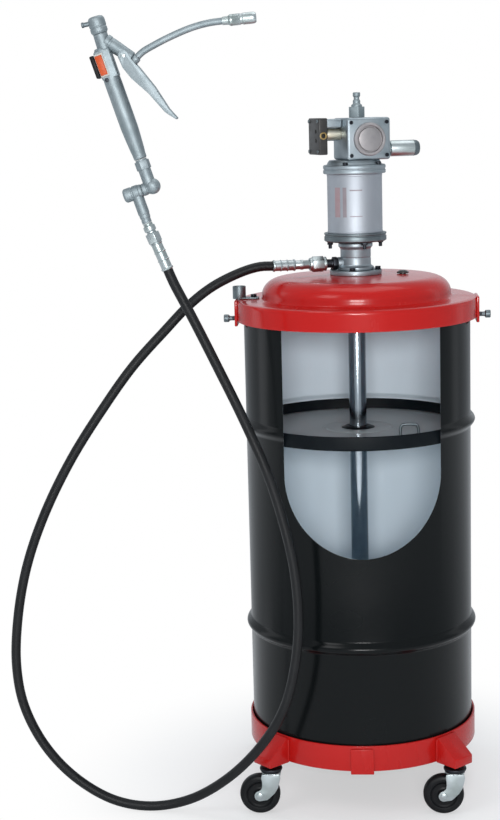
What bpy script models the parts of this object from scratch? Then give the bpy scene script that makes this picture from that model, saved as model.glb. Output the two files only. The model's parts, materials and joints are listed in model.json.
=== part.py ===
"""Air-operated oil pump for a drum, with a cutaway drum, a wheeled dolly, a hose and a control gun.

Metres, +Z up. The Z axis is the drum's axis and the casters stand on z = 0. The hose loop and the gun
are held up to the left of the drum, in a plane in front of it.
"""
from math import ceil, cos, pi, radians, sin

import bmesh
import bpy
from mathutils import Matrix, Vector

# ---------------------------------------------------------------- driving sizes
GAP = 0.0003                    # between faces that touch

# casters
caster_trail = 0.018
wheel_radius = 0.032
wheel_width = 0.022
wheel_side_gap = 0.0015
fork_plate = 0.0025
fork_width = 0.028
fork_top_gap = 0.0022
axle_radius = 0.0035
axle_clearance = 0.0005
kingpin_radius = 0.004
race_radius = 0.018
race_height = 0.0065

# drum
drum_radius = 0.1795
drum_wall = 0.0015
drum_height = 0.7102
drum_foot = 2 * wheel_radius + 0.0228   # the drum's lower edge above the floor
drum_top = drum_foot + drum_height
curl_depth = 0.007              # how far the rolled top edge reaches inwards
hoop_rise = 0.007
hoop_half = 0.012
hoop_heights = (drum_foot + 0.1922, drum_foot + 0.5222)
bottom_recess = 0.0080

# window cut in the drum
window_centre = 0.0065
window_half_width = 0.120
window_top = drum_top - 0.012
window_spring = drum_foot + 0.4582      # where the straight sides turn into the half ellipse
window_depth = 0.123

# dolly
band_thickness = 0.0032
band_height = 0.041
band_clearance = 0.0018
lip_thickness = 0.003
lip_inner_radius = drum_radius - 0.0245
caster_radius_place = drum_radius + 0.0255      # stem axes from the drum's axis
lug_reach = 0.0395              # beyond the band's outer face
lug_width = 0.040
lug_drop = 0.0015               # below the band

# cover
cover_radius = drum_radius + 0.0105
cover_sheet = 0.0025
cover_rim_top = drum_top + 0.008
cover_skirt = 0.033
dome_radius = drum_radius - 0.030
dome_crown_radius = drum_radius - 0.0615
dome_top = drum_top + 0.044
gasket_height = 0.0049
tab_width = 0.056
tab_proud = 0.0025
tab_drop = 0.008
clamp_height = drum_top - 0.023
clamp_screw_radius = 0.004
clamp_tip_reach = cover_radius + 0.022
plug_place = 0.074
holder_place = 0.004 - cover_radius
holder_bolt_place = 0.027 - cover_radius
cup_radius = 0.0105
cup_wall = 0.002
cup_height = 0.020

# pump
tube_radius = 0.01375
tube_wall = 0.003
foot_top = drum_foot + 0.1132
foot_length = 0.035
foot_radius = tube_radius
rod_radius = 0.005
rod_clearance = 0.0006
rod_foot = drum_foot + 0.0132
flange_radius = 0.041
flange_thickness = 0.007
body_radius = 0.024
body_height = 0.0415
outlet_height = dome_top + 0.0185
outlet_turn = radians(16)       # towards the front, from straight left

# air motor
motor_radius = 0.0435
motor_wall = 0.0025
motor_length = 0.0914
motor_flange_radius = motor_radius + 0.0055
motor_base_height = 0.0167
motor_head_height = 0.021
piston_height = 0.012
piston_clearance = 0.0005
block_turn = radians(20)
block_offset = 0.012
block_length = 0.071
block_depth = 0.068
block_height = 0.0647
spindle_radius = 0.0085
spindle_clearance = 0.0003
spindle_height = 0.0402         # above the block's foot
cover_plate = 0.014
cover_plate_place = 0.0645      # inner face, from the block's axis
muffler_radius = 0.0125
muffler_length = 0.060
nipple_radius = 0.0058
nipple_bore = 0.0026
nipple_place = 0.005

# follower plate in the drum
follower_height = drum_foot + 0.5052
follower_sheet = 0.003
wiper_height = 0.0215
wiper_thickness = 0.004
wiper_clearance = 0.0015
gland_hole_radius = 0.027
gland_clearance = 0.0006

# hose and its fittings
hose_radius = 0.0075
nut_radius = 0.0125
ferrule_radius = 0.0093
stem_radius = 0.0070
pump_nut_start = 0.0490         # along the outlet's axis, from the pump's axis
pump_nut_length = 0.0264
pump_stem_length = 0.0227
ferrule_length = 0.0364
hose_step = 0.044

# gun, in its own plane: across, and along the handle
gun_front = -0.010 - cover_radius        # the plane's Y
gun_place = (-0.118 - cover_radius, outlet_height + 0.1305)      # X and Z of the swivel's cross axis
gun_lean = radians(18)
hose_end_lean = radians(22)
handle_axis = 0.0120
handle_radius = 0.0127
lever_pivot = (0.040, 0.190)
lever_half_width = 0.0115
lever_sheet = 0.0017
pin_radius = 0.002
tip_tube_radius = 0.005
coupler_length = 0.049
coupler_radius = 0.0084

ROUND = 32                      # facets of the large round parts
MIDDLE = 20                     # and of the pump's and the motor's
SMALL = 10                      # of the small ones
WHEEL = 12                      # and of the wheels

# ---------------------------------------------------------------- derived places
drum_inner = drum_radius - drum_wall
band_inner = drum_radius + band_clearance
band_outer = band_inner + band_thickness
band_foot = drum_foot - GAP - lip_thickness
cover_inner = cover_radius - cover_sheet
cover_underside = cover_rim_top - cover_sheet
flange_foot = dome_top + GAP
body_foot = flange_foot + flange_thickness + GAP
motor_foot = body_foot + body_height + GAP
cylinder_foot = motor_foot + motor_base_height + GAP
head_foot = cylinder_foot + motor_length + GAP
block_foot = head_foot + motor_head_height + GAP
block_top = block_foot + block_height
motor_bore = motor_radius - motor_wall
fork_inner = wheel_width / 2 + wheel_side_gap
fork_top = 2 * wheel_radius + fork_top_gap + fork_plate
race_foot = fork_top + GAP
lug_foot = band_foot - lug_drop
hole_for_tube = tube_radius + 0.00075


# ---------------------------------------------------------------- scene and helpers
for old in list(bpy.data.objects):
    bpy.data.objects.remove(old, do_unlink=True)

parts = bpy.data.collections.new("drum_oil_pump")
cutters = bpy.data.collections.new("cutters")
for collection in (parts, cutters):
    bpy.context.scene.collection.children.link(collection)


def finish(name, colour, roughness, metallic=0.0):
    """A Principled material of one colour."""
    material = bpy.data.materials.new(name)
    material.use_nodes = True
    shader = material.node_tree.nodes["Principled BSDF"]
    shader.inputs["Base Color"].default_value = (*colour, 1.0)
    shader.inputs["Roughness"].default_value = roughness
    shader.inputs["Metallic"].default_value = metallic
    material.diffuse_color = (*colour, 1.0)
    return material


def place_object(obj, place, material=None):
    """Puts a part in its collection, or a helper that has no material among the cutters."""
    obj.matrix_world = place
    if material is None:
        cutters.objects.link(obj)
        obj.hide_render = True
        obj.display_type = "WIRE"
    else:
        parts.objects.link(obj)
        obj.data.materials.append(material)
    return obj


def from_bmesh(name, bm, place, material):
    """An object of this bmesh, shaded smooth with its sharp edges kept."""
    mesh = bpy.data.meshes.new(name)
    bm.to_mesh(mesh)
    bm.free()
    mesh.shade_smooth()
    mesh.set_sharp_from_angle(angle=radians(35))
    return place_object(bpy.data.objects.new(name, mesh), place, material)


def block(name, low, high, place=Matrix(), material=None, rounding=0.0):
    """A box between two corners in the frame of place."""
    low, high = Vector(low), Vector(high)
    bm = bmesh.new()
    bmesh.ops.create_cube(bm, size=1.0)
    bmesh.ops.scale(bm, vec=high - low, verts=bm.verts)
    bmesh.ops.translate(bm, vec=(low + high) / 2, verts=bm.verts)
    obj = from_bmesh(name, bm, place, material)
    if rounding:
        bevel = obj.modifiers.new("rounding", "BEVEL")
        bevel.width = rounding
        bevel.segments = 2
    return obj


def rod(name, start, end, radius, material=None, sides=SMALL, end_radius=None, place=Matrix()):
    """A round bar, a cone or a prism from start to end."""
    start, end = Vector(start), Vector(end)
    axis = end - start
    bm = bmesh.new()
    bmesh.ops.create_cone(
        bm,
        cap_ends=True,
        segments=sides,
        radius1=radius,
        radius2=radius if end_radius is None else end_radius,
        depth=axis.length,
    )
    bmesh.ops.translate(bm, vec=(0, 0, axis.length / 2), verts=bm.verts)
    turn = axis.to_track_quat("Z", "Y").to_matrix().to_4x4()
    return from_bmesh(name, bm, place @ Matrix.Translation(start) @ turn, material)


def turned(name, outline, material=None, place=Matrix(), ring=False, steps=SMALL):
    """A turned shape: outline holds (radius, height) down the outer side, closed up again for a ring."""
    mesh = bpy.data.meshes.new(name)
    count = len(outline)
    edges = [(i, i + 1) for i in range(count - 1)]
    if ring:
        edges.append((count - 1, 0))
    mesh.from_pydata([(radius, 0.0, height) for radius, height in outline], edges, [])
    obj = place_object(bpy.data.objects.new(name, mesh), place, material)
    screw = obj.modifiers.new("turn", "SCREW")
    screw.axis = "Z"
    screw.steps = steps
    screw.render_steps = steps
    screw.use_merge_vertices = True
    screw.merge_threshold = 0.00001
    screw.use_smooth_shade = True
    return obj


def curve_to_mesh(obj):
    """A mesh object in place of a curve object, with its caps welded to its sides."""
    bpy.context.view_layer.update()
    graph = bpy.context.evaluated_depsgraph_get()
    mesh = bpy.data.meshes.new_from_object(obj.evaluated_get(graph))
    bm = bmesh.new()
    bm.from_mesh(mesh)
    bmesh.ops.remove_doubles(bm, verts=bm.verts, dist=0.000005)
    bm.to_mesh(mesh)
    bm.free()
    mesh.shade_smooth()
    mesh.set_sharp_from_angle(angle=radians(35))
    solid = bpy.data.objects.new(obj.name + "_mesh", mesh)
    solid.matrix_world = obj.matrix_world
    name = obj.name
    for collection in obj.users_collection:
        collection.objects.link(solid)
    solid.hide_render = obj.hide_render
    solid.display_type = obj.display_type
    bpy.data.objects.remove(obj, do_unlink=True)
    solid.name = name
    return solid


def plate(name, outline, thickness, place=Matrix(), material=None):
    """A flat outline in the place's XY plane, half its thickness to each side."""
    curve = bpy.data.curves.new(name, "CURVE")
    curve.dimensions = "2D"
    curve.fill_mode = "BOTH"
    curve.extrude = thickness / 2
    spline = curve.splines.new("POLY")
    spline.points.add(len(outline) - 1)
    for point, (x, y) in zip(spline.points, outline):
        point.co = (x, y, 0.0, 1.0)
    spline.use_cyclic_u = True
    return curve_to_mesh(place_object(bpy.data.objects.new(name, curve), place, material))


def wire(name, points, radius, material=None, place=Matrix(), resolution=2):
    """A round bar or tube along a line of points."""
    curve = bpy.data.curves.new(name, "CURVE")
    curve.dimensions = "3D"
    curve.bevel_depth = radius
    curve.bevel_resolution = resolution
    curve.use_fill_caps = True
    spline = curve.splines.new("POLY")
    spline.points.add(len(points) - 1)
    for point, where in zip(spline.points, points):
        point.co = (*where, 1.0)
    return place_object(bpy.data.objects.new(name, curve), place, material)


def boolean(target, other, operation):
    modifier = target.modifiers.new(other.name, "BOOLEAN")
    modifier.operation = operation
    modifier.object = other
    modifier.solver = "EXACT"


def cut(target, *others):
    for other in others:
        boolean(target, other, "DIFFERENCE")


def join(target, *others):
    for other in others:
        boolean(target, other, "UNION")


def arc(centre, radius, start, end, count):
    """Points on an arc from one angle to the other, in degrees."""
    turns = [radians(start + (end - start) * i / count) for i in range(count + 1)]
    return [(centre[0] + radius * cos(turn), centre[1] + radius * sin(turn)) for turn in turns]


def along(start, direction):
    """A frame whose Z axis runs from start in this direction."""
    return Matrix.Translation(start) @ Vector(direction).to_track_quat("Z", "Y").to_matrix().to_4x4()


def joint(name, place, parent=None):
    """An empty on a joint's axis."""
    empty = bpy.data.objects.new(name, None)
    empty.empty_display_size = 0.03
    parts.objects.link(empty)
    empty.matrix_world = Matrix.Translation(place)
    if parent:
        carry(parent, empty)
    return empty


def carry(parent, *objects):
    """Hangs objects on a parent and leaves them where they are."""
    for obj in objects:
        world = obj.matrix_basis.copy()
        obj.parent = parent
        obj.matrix_parent_inverse = parent.matrix_basis.inverted()
        obj.matrix_basis = world


# ---------------------------------------------------------------- finishes
black_paint = finish("black_drum_paint", (0.012, 0.013, 0.015), 0.32)
red_paint = finish("red_enamel", (0.60, 0.012, 0.010), 0.28)
cast_aluminium = finish("cast_aluminium", (0.62, 0.65, 0.68), 0.38, 0.9)
polished_steel = finish("polished_steel", (0.72, 0.74, 0.76), 0.18, 1.0)
zinc_plate = finish("zinc_plate", (0.66, 0.70, 0.72), 0.30, 0.9)
dark_steel = finish("black_oxide_steel", (0.045, 0.048, 0.055), 0.42, 0.7)
black_rubber = finish("black_rubber", (0.016, 0.016, 0.017), 0.62)
hose_rubber = finish("hose_rubber", (0.014, 0.015, 0.015), 0.50)
grey_enamel = finish("grey_enamel", (0.30, 0.32, 0.35), 0.45)
dark_plastic = finish("dark_plastic", (0.05, 0.048, 0.045), 0.50)
satin_nickel = finish("satin_nickel", (0.55, 0.58, 0.60), 0.35, 0.9)
brass = finish("pale_brass", (0.78, 0.70, 0.52), 0.30, 0.9)
orange_plastic = finish("orange_plastic", (0.80, 0.13, 0.02), 0.42)

upright = Matrix.Rotation(pi / 2, 4, "X")       # turns an XY outline to stand in the XZ plane


# ---------------------------------------------------------------- drum
def hoop(height, offset):
    """One rolling hoop's outline, from its top to its foot."""
    face = drum_radius - offset
    return [
        (face, height + hoop_half),
        (face + hoop_rise, height + 0.3 * hoop_half),
        (face + hoop_rise, height - 0.3 * hoop_half),
        (face, height - hoop_half),
    ]


def make_drum():
    outside = [(drum_radius - 0.002, drum_top), (drum_radius, drum_top - 0.002)]
    inside = [(drum_inner, drum_foot)]
    for height in sorted(hoop_heights, reverse=True):
        outside += hoop(height, 0.0)
    for height in sorted(hoop_heights):
        inside += reversed(hoop(height, drum_wall))
    outside.append((drum_radius, drum_foot))
    inside += [
        (drum_inner, drum_top - 0.007),
        (drum_radius - curl_depth, drum_top - 0.006),
        (drum_radius - curl_depth, drum_top - 0.001),
        (drum_radius - curl_depth + 0.001, drum_top),
    ]
    shell = turned("drum_shell", outside + inside, black_paint, ring=True, steps=ROUND)
    left = window_centre - window_half_width
    right = window_centre + window_half_width
    count = 20
    outline = [(left, window_top)]
    for i in range(count + 1):
        turn = pi * i / count
        outline.append((
            window_centre - window_half_width * cos(turn),
            window_spring - window_depth * sin(turn),
        ))
    outline.append((right, window_top))
    to_front = Matrix.Translation((0, -drum_radius, 0)) @ upright
    cut(shell, plate("window_cutter", outline, 0.2, to_front))
    edge = drum_inner - GAP
    sheet_top = drum_foot + bottom_recess
    return [
        shell,
        turned(
            "drum_bottom",
            [
                (0, sheet_top),
                (edge - 0.0030, sheet_top),
                (edge, sheet_top - 0.0020),
                (edge, drum_foot + GAP),
                (edge - drum_wall, drum_foot + GAP),
                (edge - drum_wall, sheet_top - 0.0025),
                (edge - 0.0035, sheet_top - drum_wall),
                (0, sheet_top - drum_wall),
            ],
            black_paint,
            steps=ROUND,
        ),
    ]


# ---------------------------------------------------------------- dolly and casters
def make_dolly():
    band = turned(
        "dolly_band",
        [
            (band_outer, band_foot + band_height),
            (band_outer, band_foot),
            (lip_inner_radius, band_foot),
            (lip_inner_radius, band_foot + lip_thickness),
            (band_inner, band_foot + lip_thickness),
            (band_inner, band_foot + band_height),
        ],
        red_paint,
        ring=True,
        steps=ROUND,
    )
    inner = band_inner + 0.5 * band_thickness
    outer = band_outer + lug_reach
    for i in range(4):
        outline = [
            (inner, band_foot + band_height - 0.0006),
            (band_outer + 0.003, band_foot + band_height - 0.0006),
            (outer, band_foot + 0.013),
            (outer, lug_foot),
            (inner, lug_foot),
        ]
        turn = Matrix.Rotation(pi / 4 + i * pi / 2, 4, "Z")
        join(band, plate(f"lug_{i + 1}", outline, lug_width, turn @ upright))
    front = -(band_outer + GAP)
    splice = block(
        "dolly_splice",
        (-0.018, front - 0.0030, band_foot - 0.004),
        (0.018, front, band_foot + band_height - 0.004),
        material=red_paint,
        rounding=0.0012,
    )
    return [band, splice]


def make_caster(number, stem_turn):
    """A swivel caster: kingpin with its race, fork with a riveted axle, and wheel."""
    x = caster_radius_place * cos(stem_turn)
    y = caster_radius_place * sin(stem_turn)
    stem_place = Matrix.Translation((x, y, 0))
    pin_foot = fork_top - fork_plate - GAP - 0.0028
    stem = turned(
        f"caster_stem_{number}",
        [
            (0, lug_foot - GAP),
            (0.0065, lug_foot - GAP),
            (0.0065, race_foot + race_height),
            (race_radius, race_foot + race_height),
            (0.88 * race_radius, race_foot),
            (kingpin_radius, race_foot),
            (kingpin_radius, fork_top - fork_plate - GAP),
            (0.0060, fork_top - fork_plate - GAP),
            (0.0050, pin_foot),
            (0, pin_foot),
        ],
        dark_steel,
        stem_place,
    )
    trail = -caster_trail
    foot = fork_top - 0.0006
    outline = [(0.50 * fork_width, foot), (0.0135, 0.057), (0.0110, 0.046), (0.0040, 0.0345)]
    outline += [(-0.0045, 0.0260)]
    outline += reversed(arc((trail, wheel_radius), 0.0085, 100, 290, 5))
    outline += [(-0.0140, 0.0440), (-0.0135, 0.0540), (-0.50 * fork_width, foot)]
    side = fork_inner + fork_plate / 2
    fork = turned(
        f"caster_fork_{number}",
        [
            (0.5 * fork_width + 0.0015, fork_top),
            (0.5 * fork_width + 0.0015, fork_top - fork_plate),
            (kingpin_radius + 0.0004, fork_top - fork_plate),
            (kingpin_radius + 0.0004, fork_top),
        ],
        zinc_plate,
        stem_place,
        ring=True,
    )
    for sign in (-1, 1):
        leg_place = stem_place @ Matrix.Translation((0, sign * side, 0)) @ upright
        join(fork, plate(f"fork_leg_{number}_{sign}", outline, fork_plate, leg_place))
    half = fork_inner + fork_plate + 0.002
    centre = Vector((x + trail, y, wheel_radius))
    axle_place = along(centre - Vector((0, half, 0)), (0, 1, 0))
    axle = turned(
        f"axle_{number}",
        [
            (0, 2 * half),
            (0.0055, 2 * half),
            (0.0055, 2 * half - 0.0024),
            (axle_radius, 2 * half - 0.0024),
            (axle_radius, 0.0024),
            (0.0055, 0.0024),
            (0.0055, 0),
            (0, 0),
        ],
        None,
        axle_place,
    )
    join(fork, axle)
    width = wheel_width
    bore = axle_radius + axle_clearance
    wheel = turned(
        f"caster_wheel_{number}",
        [
            (wheel_radius - 0.003, width - 0.0012),
            (wheel_radius, width - 0.0045),
            (wheel_radius, 0.0045),
            (wheel_radius - 0.003, 0.0012),
            (0.58 * wheel_radius, 0.0036),
            (0.0095, 0.0036),
            (0.0085, 0),
            (bore, 0),
            (bore, width),
            (0.0085, width),
            (0.0095, width - 0.0036),
            (0.58 * wheel_radius, width - 0.0036),
        ],
        black_rubber,
        along(centre - Vector((0, width / 2, 0)), (0, 1, 0)),
        ring=True,
        steps=WHEEL,
    )
    swivel = joint(f"caster_swivel_{number}_axis", (x, y, fork_top))
    axis = joint(f"caster_wheel_{number}_axis", centre, swivel)
    carry(swivel, fork)
    carry(axis, wheel)
    return stem


# ---------------------------------------------------------------- cover and what stands on it
def cover_outline():
    """The pressed cover's section: outer side from the centre hole to the skirt, then back inside."""
    crown = dome_top - 0.003
    rise = crown - (cover_rim_top + 0.007)
    reach = dome_radius - dome_crown_radius
    outside = [(hole_for_tube, dome_top), (flange_radius + 0.003, dome_top)]
    inside = [(hole_for_tube, dome_top - cover_sheet), (flange_radius + 0.003, dome_top - cover_sheet)]
    for i in range(5):
        turn = pi / 2 * i / 4
        outside.append((
            dome_crown_radius + reach * sin(turn),
            crown - rise * (1 - cos(turn)),
        ))
        inside.append((
            dome_crown_radius + (reach - cover_sheet) * sin(turn),
            crown - cover_sheet - (rise - cover_sheet) * (1 - cos(turn)),
        ))
    outside += [
        (dome_radius + 0.0040, cover_rim_top),
        (cover_radius - 0.0025, cover_rim_top),
        (cover_radius, cover_rim_top - 0.0025),
        (cover_radius, cover_rim_top - cover_skirt),
    ]
    inside += [
        (dome_radius + 0.0025, cover_underside),
        (cover_inner, cover_underside),
        (cover_inner, cover_rim_top - cover_skirt),
    ]
    return outside + list(reversed(inside))


def make_cover():
    cover = turned("drum_cover", cover_outline(), red_paint, ring=True, steps=ROUND)
    for side in (-1, 1):
        xs = sorted((side * (cover_inner - 0.0010), side * (cover_radius + tab_proud)))
        low = cover_rim_top - cover_skirt - tab_drop
        tab = block(
            f"cover_tab_{side}",
            (xs[0], -tab_width / 2, low),
            (xs[1], tab_width / 2, cover_rim_top - 0.0006),
            rounding=0.0008,
        )
        join(cover, tab)
        hole = rod(
            f"clamp_hole_{side}",
            (side * (drum_radius + 0.002), 0, clamp_height),
            (side * (cover_radius + 0.02), 0, clamp_height),
            clamp_screw_radius + 0.0004,
        )
        cut(cover, hole)
    plug_hole = rod("plug_hole", (plug_place, 0, dome_top - 0.02), (plug_place, 0, dome_top + 0.02), 0.0055)
    bolt_hole = rod(
        "holder_bolt_hole",
        (holder_bolt_place, 0, cover_rim_top - 0.015),
        (holder_bolt_place, 0, cover_rim_top + 0.015),
        0.0034,
    )
    cut(cover, plug_hole, bolt_hole)
    gasket = turned(
        "cover_gasket",
        [
            (drum_radius - 0.0005, drum_top + GAP + gasket_height),
            (drum_radius - 0.0005, drum_top + GAP),
            (drum_radius - curl_depth, drum_top + GAP),
            (drum_radius - curl_depth, drum_top + GAP + gasket_height),
        ],
        black_rubber,
        ring=True,
        steps=ROUND,
    )
    plug = turned(
        "cover_plug",
        [
            (0, dome_top + 0.0050),
            (0.0070, dome_top + 0.0048),
            (0.0090, dome_top + 0.0030),
            (0.0095, dome_top + GAP),
            (0.0050, dome_top + GAP),
            (0.0050, dome_top - 0.009),
            (0, dome_top - 0.009),
        ],
        dark_plastic,
        Matrix.Translation((plug_place, 0, 0)),
    )
    seat = cover_rim_top + GAP
    holder = turned(
        "gun_holder",
        [
            (cup_radius, seat + cup_height),
            (cup_radius, seat),
            (0, seat),
            (0, seat + 0.003),
            (cup_radius - cup_wall, seat + 0.003),
            (cup_radius - cup_wall, seat + cup_height),
        ],
        zinc_plate,
        Matrix.Translation((holder_place, 0, 0)),
        ring=True,
    )
    foot = block(
        "holder_foot",
        (holder_place - 0.001, -cup_radius + 0.001, seat),
        (holder_bolt_place + 0.008, cup_radius - 0.001, seat + 0.0022),
    )
    cup_room = rod(
        "cup_room",
        (holder_place, 0, seat + 0.003),
        (holder_place, 0, seat + 0.04),
        cup_radius - cup_wall,
    )
    foot_hole = rod(
        "foot_hole", (holder_bolt_place, 0, seat - 0.01), (holder_bolt_place, 0, seat + 0.01), 0.0034,
    )
    join(holder, foot)
    cut(holder, cup_room, foot_hole)
    bolt = turned(
        "holder_bolt",
        [
            (0, seat + 0.0067),
            (0.0045, seat + 0.0067),
            (0.0052, seat + 0.0060),
            (0.0052, seat + 0.0022 + GAP),
            (0.0030, seat + 0.0022 + GAP),
            (0.0030, seat - 0.006),
            (0, seat - 0.006),
        ],
        dark_steel,
        Matrix.Translation((holder_bolt_place, 0, 0)),
        steps=6,
    )
    return [cover, gasket, plug, holder, bolt]


def make_clamp_screw(name, side, parent):
    """A thumb screw through the cover's tab, its tip on the drum."""
    tip = drum_radius + GAP
    knob = clamp_tip_reach - tip
    screw = turned(
        name,
        [
            (0, knob),
            (0.0052, knob),
            (0.0062, knob - 0.0012),
            (0.0062, knob - 0.0078),
            (0.0050, knob - 0.0090),
            (clamp_screw_radius, knob - 0.0090),
            (clamp_screw_radius, 0.0010),
            (clamp_screw_radius - 0.001, 0),
            (0, 0),
        ],
        zinc_plate,
        along((side * tip, 0, clamp_height), (side, 0, 0)),
    )
    carry(joint(name + "_axis", (side * tip, 0, clamp_height), parent), screw)


# ---------------------------------------------------------------- pump under and above the cover
outlet_along = Vector((-cos(outlet_turn), -sin(outlet_turn), 0))
outlet_centre = Vector((0, 0, outlet_height))


def make_pump():
    bore = rod_radius + rod_clearance
    flange = turned(
        "pump_flange",
        [
            (flange_radius - 0.001, flange_foot + flange_thickness),
            (flange_radius, flange_foot + flange_thickness - 0.001),
            (flange_radius, flange_foot),
            (0.0145, flange_foot),
            (0.0145, flange_foot + flange_thickness),
        ],
        cast_aluminium,
        ring=True,
        steps=MIDDLE,
    )
    body = turned(
        "pump_body",
        [
            (body_radius + 0.003, body_foot + body_height),
            (body_radius + 0.003, body_foot + body_height - 0.005),
            (body_radius, body_foot + body_height - 0.008),
            (body_radius, body_foot + 0.008),
            (body_radius + 0.005, body_foot + 0.005),
            (body_radius + 0.005, body_foot),
            (bore, body_foot),
            (bore, body_foot + body_height),
        ],
        cast_aluminium,
        ring=True,
        steps=MIDDLE,
    )
    boss_end = outlet_centre + outlet_along * 0.0300
    join(body, rod("outlet_boss", outlet_centre + outlet_along * 0.012, boss_end, 0.0095))
    cut(body, rod("outlet_bore", outlet_centre + outlet_along * 0.020, boss_end + outlet_along * 0.01,
                  0.0040))
    adapter = turned(
        "outlet_adapter",
        [
            (0.0070, pump_nut_start - 0.0300 - 2 * GAP),
            (0.0070, 0.0085),
            (0.0100, 0.0080),
            (0.0105, 0.0070),
            (0.0105, 0.0008),
            (0.0100, 0),
            (0.0035, 0),
            (0.0035, pump_nut_start - 0.0300 - 2 * GAP),
        ],
        dark_steel,
        along(boss_end + outlet_along * GAP, outlet_along),
        ring=True,
    )
    tube = turned(
        "pump_tube",
        [
            (tube_radius, flange_foot - GAP),
            (tube_radius, foot_top + GAP),
            (tube_radius - tube_wall, foot_top + GAP),
            (tube_radius - tube_wall, flange_foot - GAP),
        ],
        polished_steel,
        ring=True,
    )
    foot = turned(
        "foot_valve",
        [
            (foot_radius - 0.001, foot_top),
            (foot_radius, foot_top - 0.001),
            (foot_radius, foot_top - foot_length + 0.002),
            (foot_radius - 0.002, foot_top - foot_length),
            (bore, foot_top - foot_length),
            (bore, foot_top),
        ],
        zinc_plate,
        ring=True,
    )
    mid = foot_top - 0.6 * foot_length
    for i in range(2):
        size = Vector((0.025, 0.004, 0.006)) if i else Vector((0.004, 0.025, 0.006))
        centre = Vector((0, 0, mid))
        cut(foot, block(f"inlet_slot_{i + 1}", centre - size, centre + size))
    rod_top = cylinder_foot + 0.008 + piston_height + 0.005
    pump_rod = rod("pump_rod", (0, 0, rod_foot), (0, 0, rod_top), rod_radius, polished_steel)
    priming = turned(
        "priming_plate",
        [
            (0.0110, rod_foot + 0.0078),
            (0.0120, rod_foot + 0.0070),
            (0.0120, rod_foot + 0.0044),
            (rod_radius + GAP, rod_foot + 0.0040),
            (rod_radius + GAP, rod_foot + 0.0078),
        ],
        zinc_plate,
        ring=True,
    )
    piston = turned(
        "air_piston",
        [
            (motor_bore - piston_clearance, cylinder_foot + 0.008 + piston_height),
            (motor_bore - piston_clearance, cylinder_foot + 0.008),
            (rod_radius + GAP, cylinder_foot + 0.008),
            (rod_radius + GAP, cylinder_foot + 0.008 + piston_height),
        ],
        cast_aluminium,
        ring=True,
        steps=MIDDLE,
    )
    return [flange, body, adapter, tube, foot], [pump_rod, priming, piston]


def make_motor():
    base_top = motor_foot + motor_base_height
    base = turned(
        "motor_base",
        [
            (motor_flange_radius - 0.0015, base_top),
            (motor_flange_radius, base_top - 0.0015),
            (motor_flange_radius, motor_foot + 0.0045),
            (motor_flange_radius - 0.002, motor_foot + 0.0030),
            (0.0300, motor_foot + 0.0020),
            (0.0270, motor_foot),
            (rod_radius + rod_clearance, motor_foot),
            (rod_radius + rod_clearance, base_top),
        ],
        cast_aluminium,
        ring=True,
        steps=MIDDLE,
    )
    cylinder = turned(
        "motor_cylinder",
        [
            (motor_radius, cylinder_foot + motor_length),
            (motor_radius, cylinder_foot),
            (motor_bore, cylinder_foot),
            (motor_bore, cylinder_foot + motor_length),
        ],
        cast_aluminium,
        ring=True,
        steps=MIDDLE,
    )
    top = head_foot + motor_head_height
    head = turned(
        "motor_head",
        [
            (0, top),
            (0.0400, top),
            (0.0430, top - 0.0060),
            (motor_flange_radius - 0.0015, top - 0.0075),
            (motor_flange_radius, top - 0.0090),
            (motor_flange_radius, head_foot + 0.0015),
            (motor_flange_radius - 0.0015, head_foot),
            (0, head_foot),
        ],
        cast_aluminium,
        steps=MIDDLE,
    )
    return [base, cylinder, head]


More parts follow.
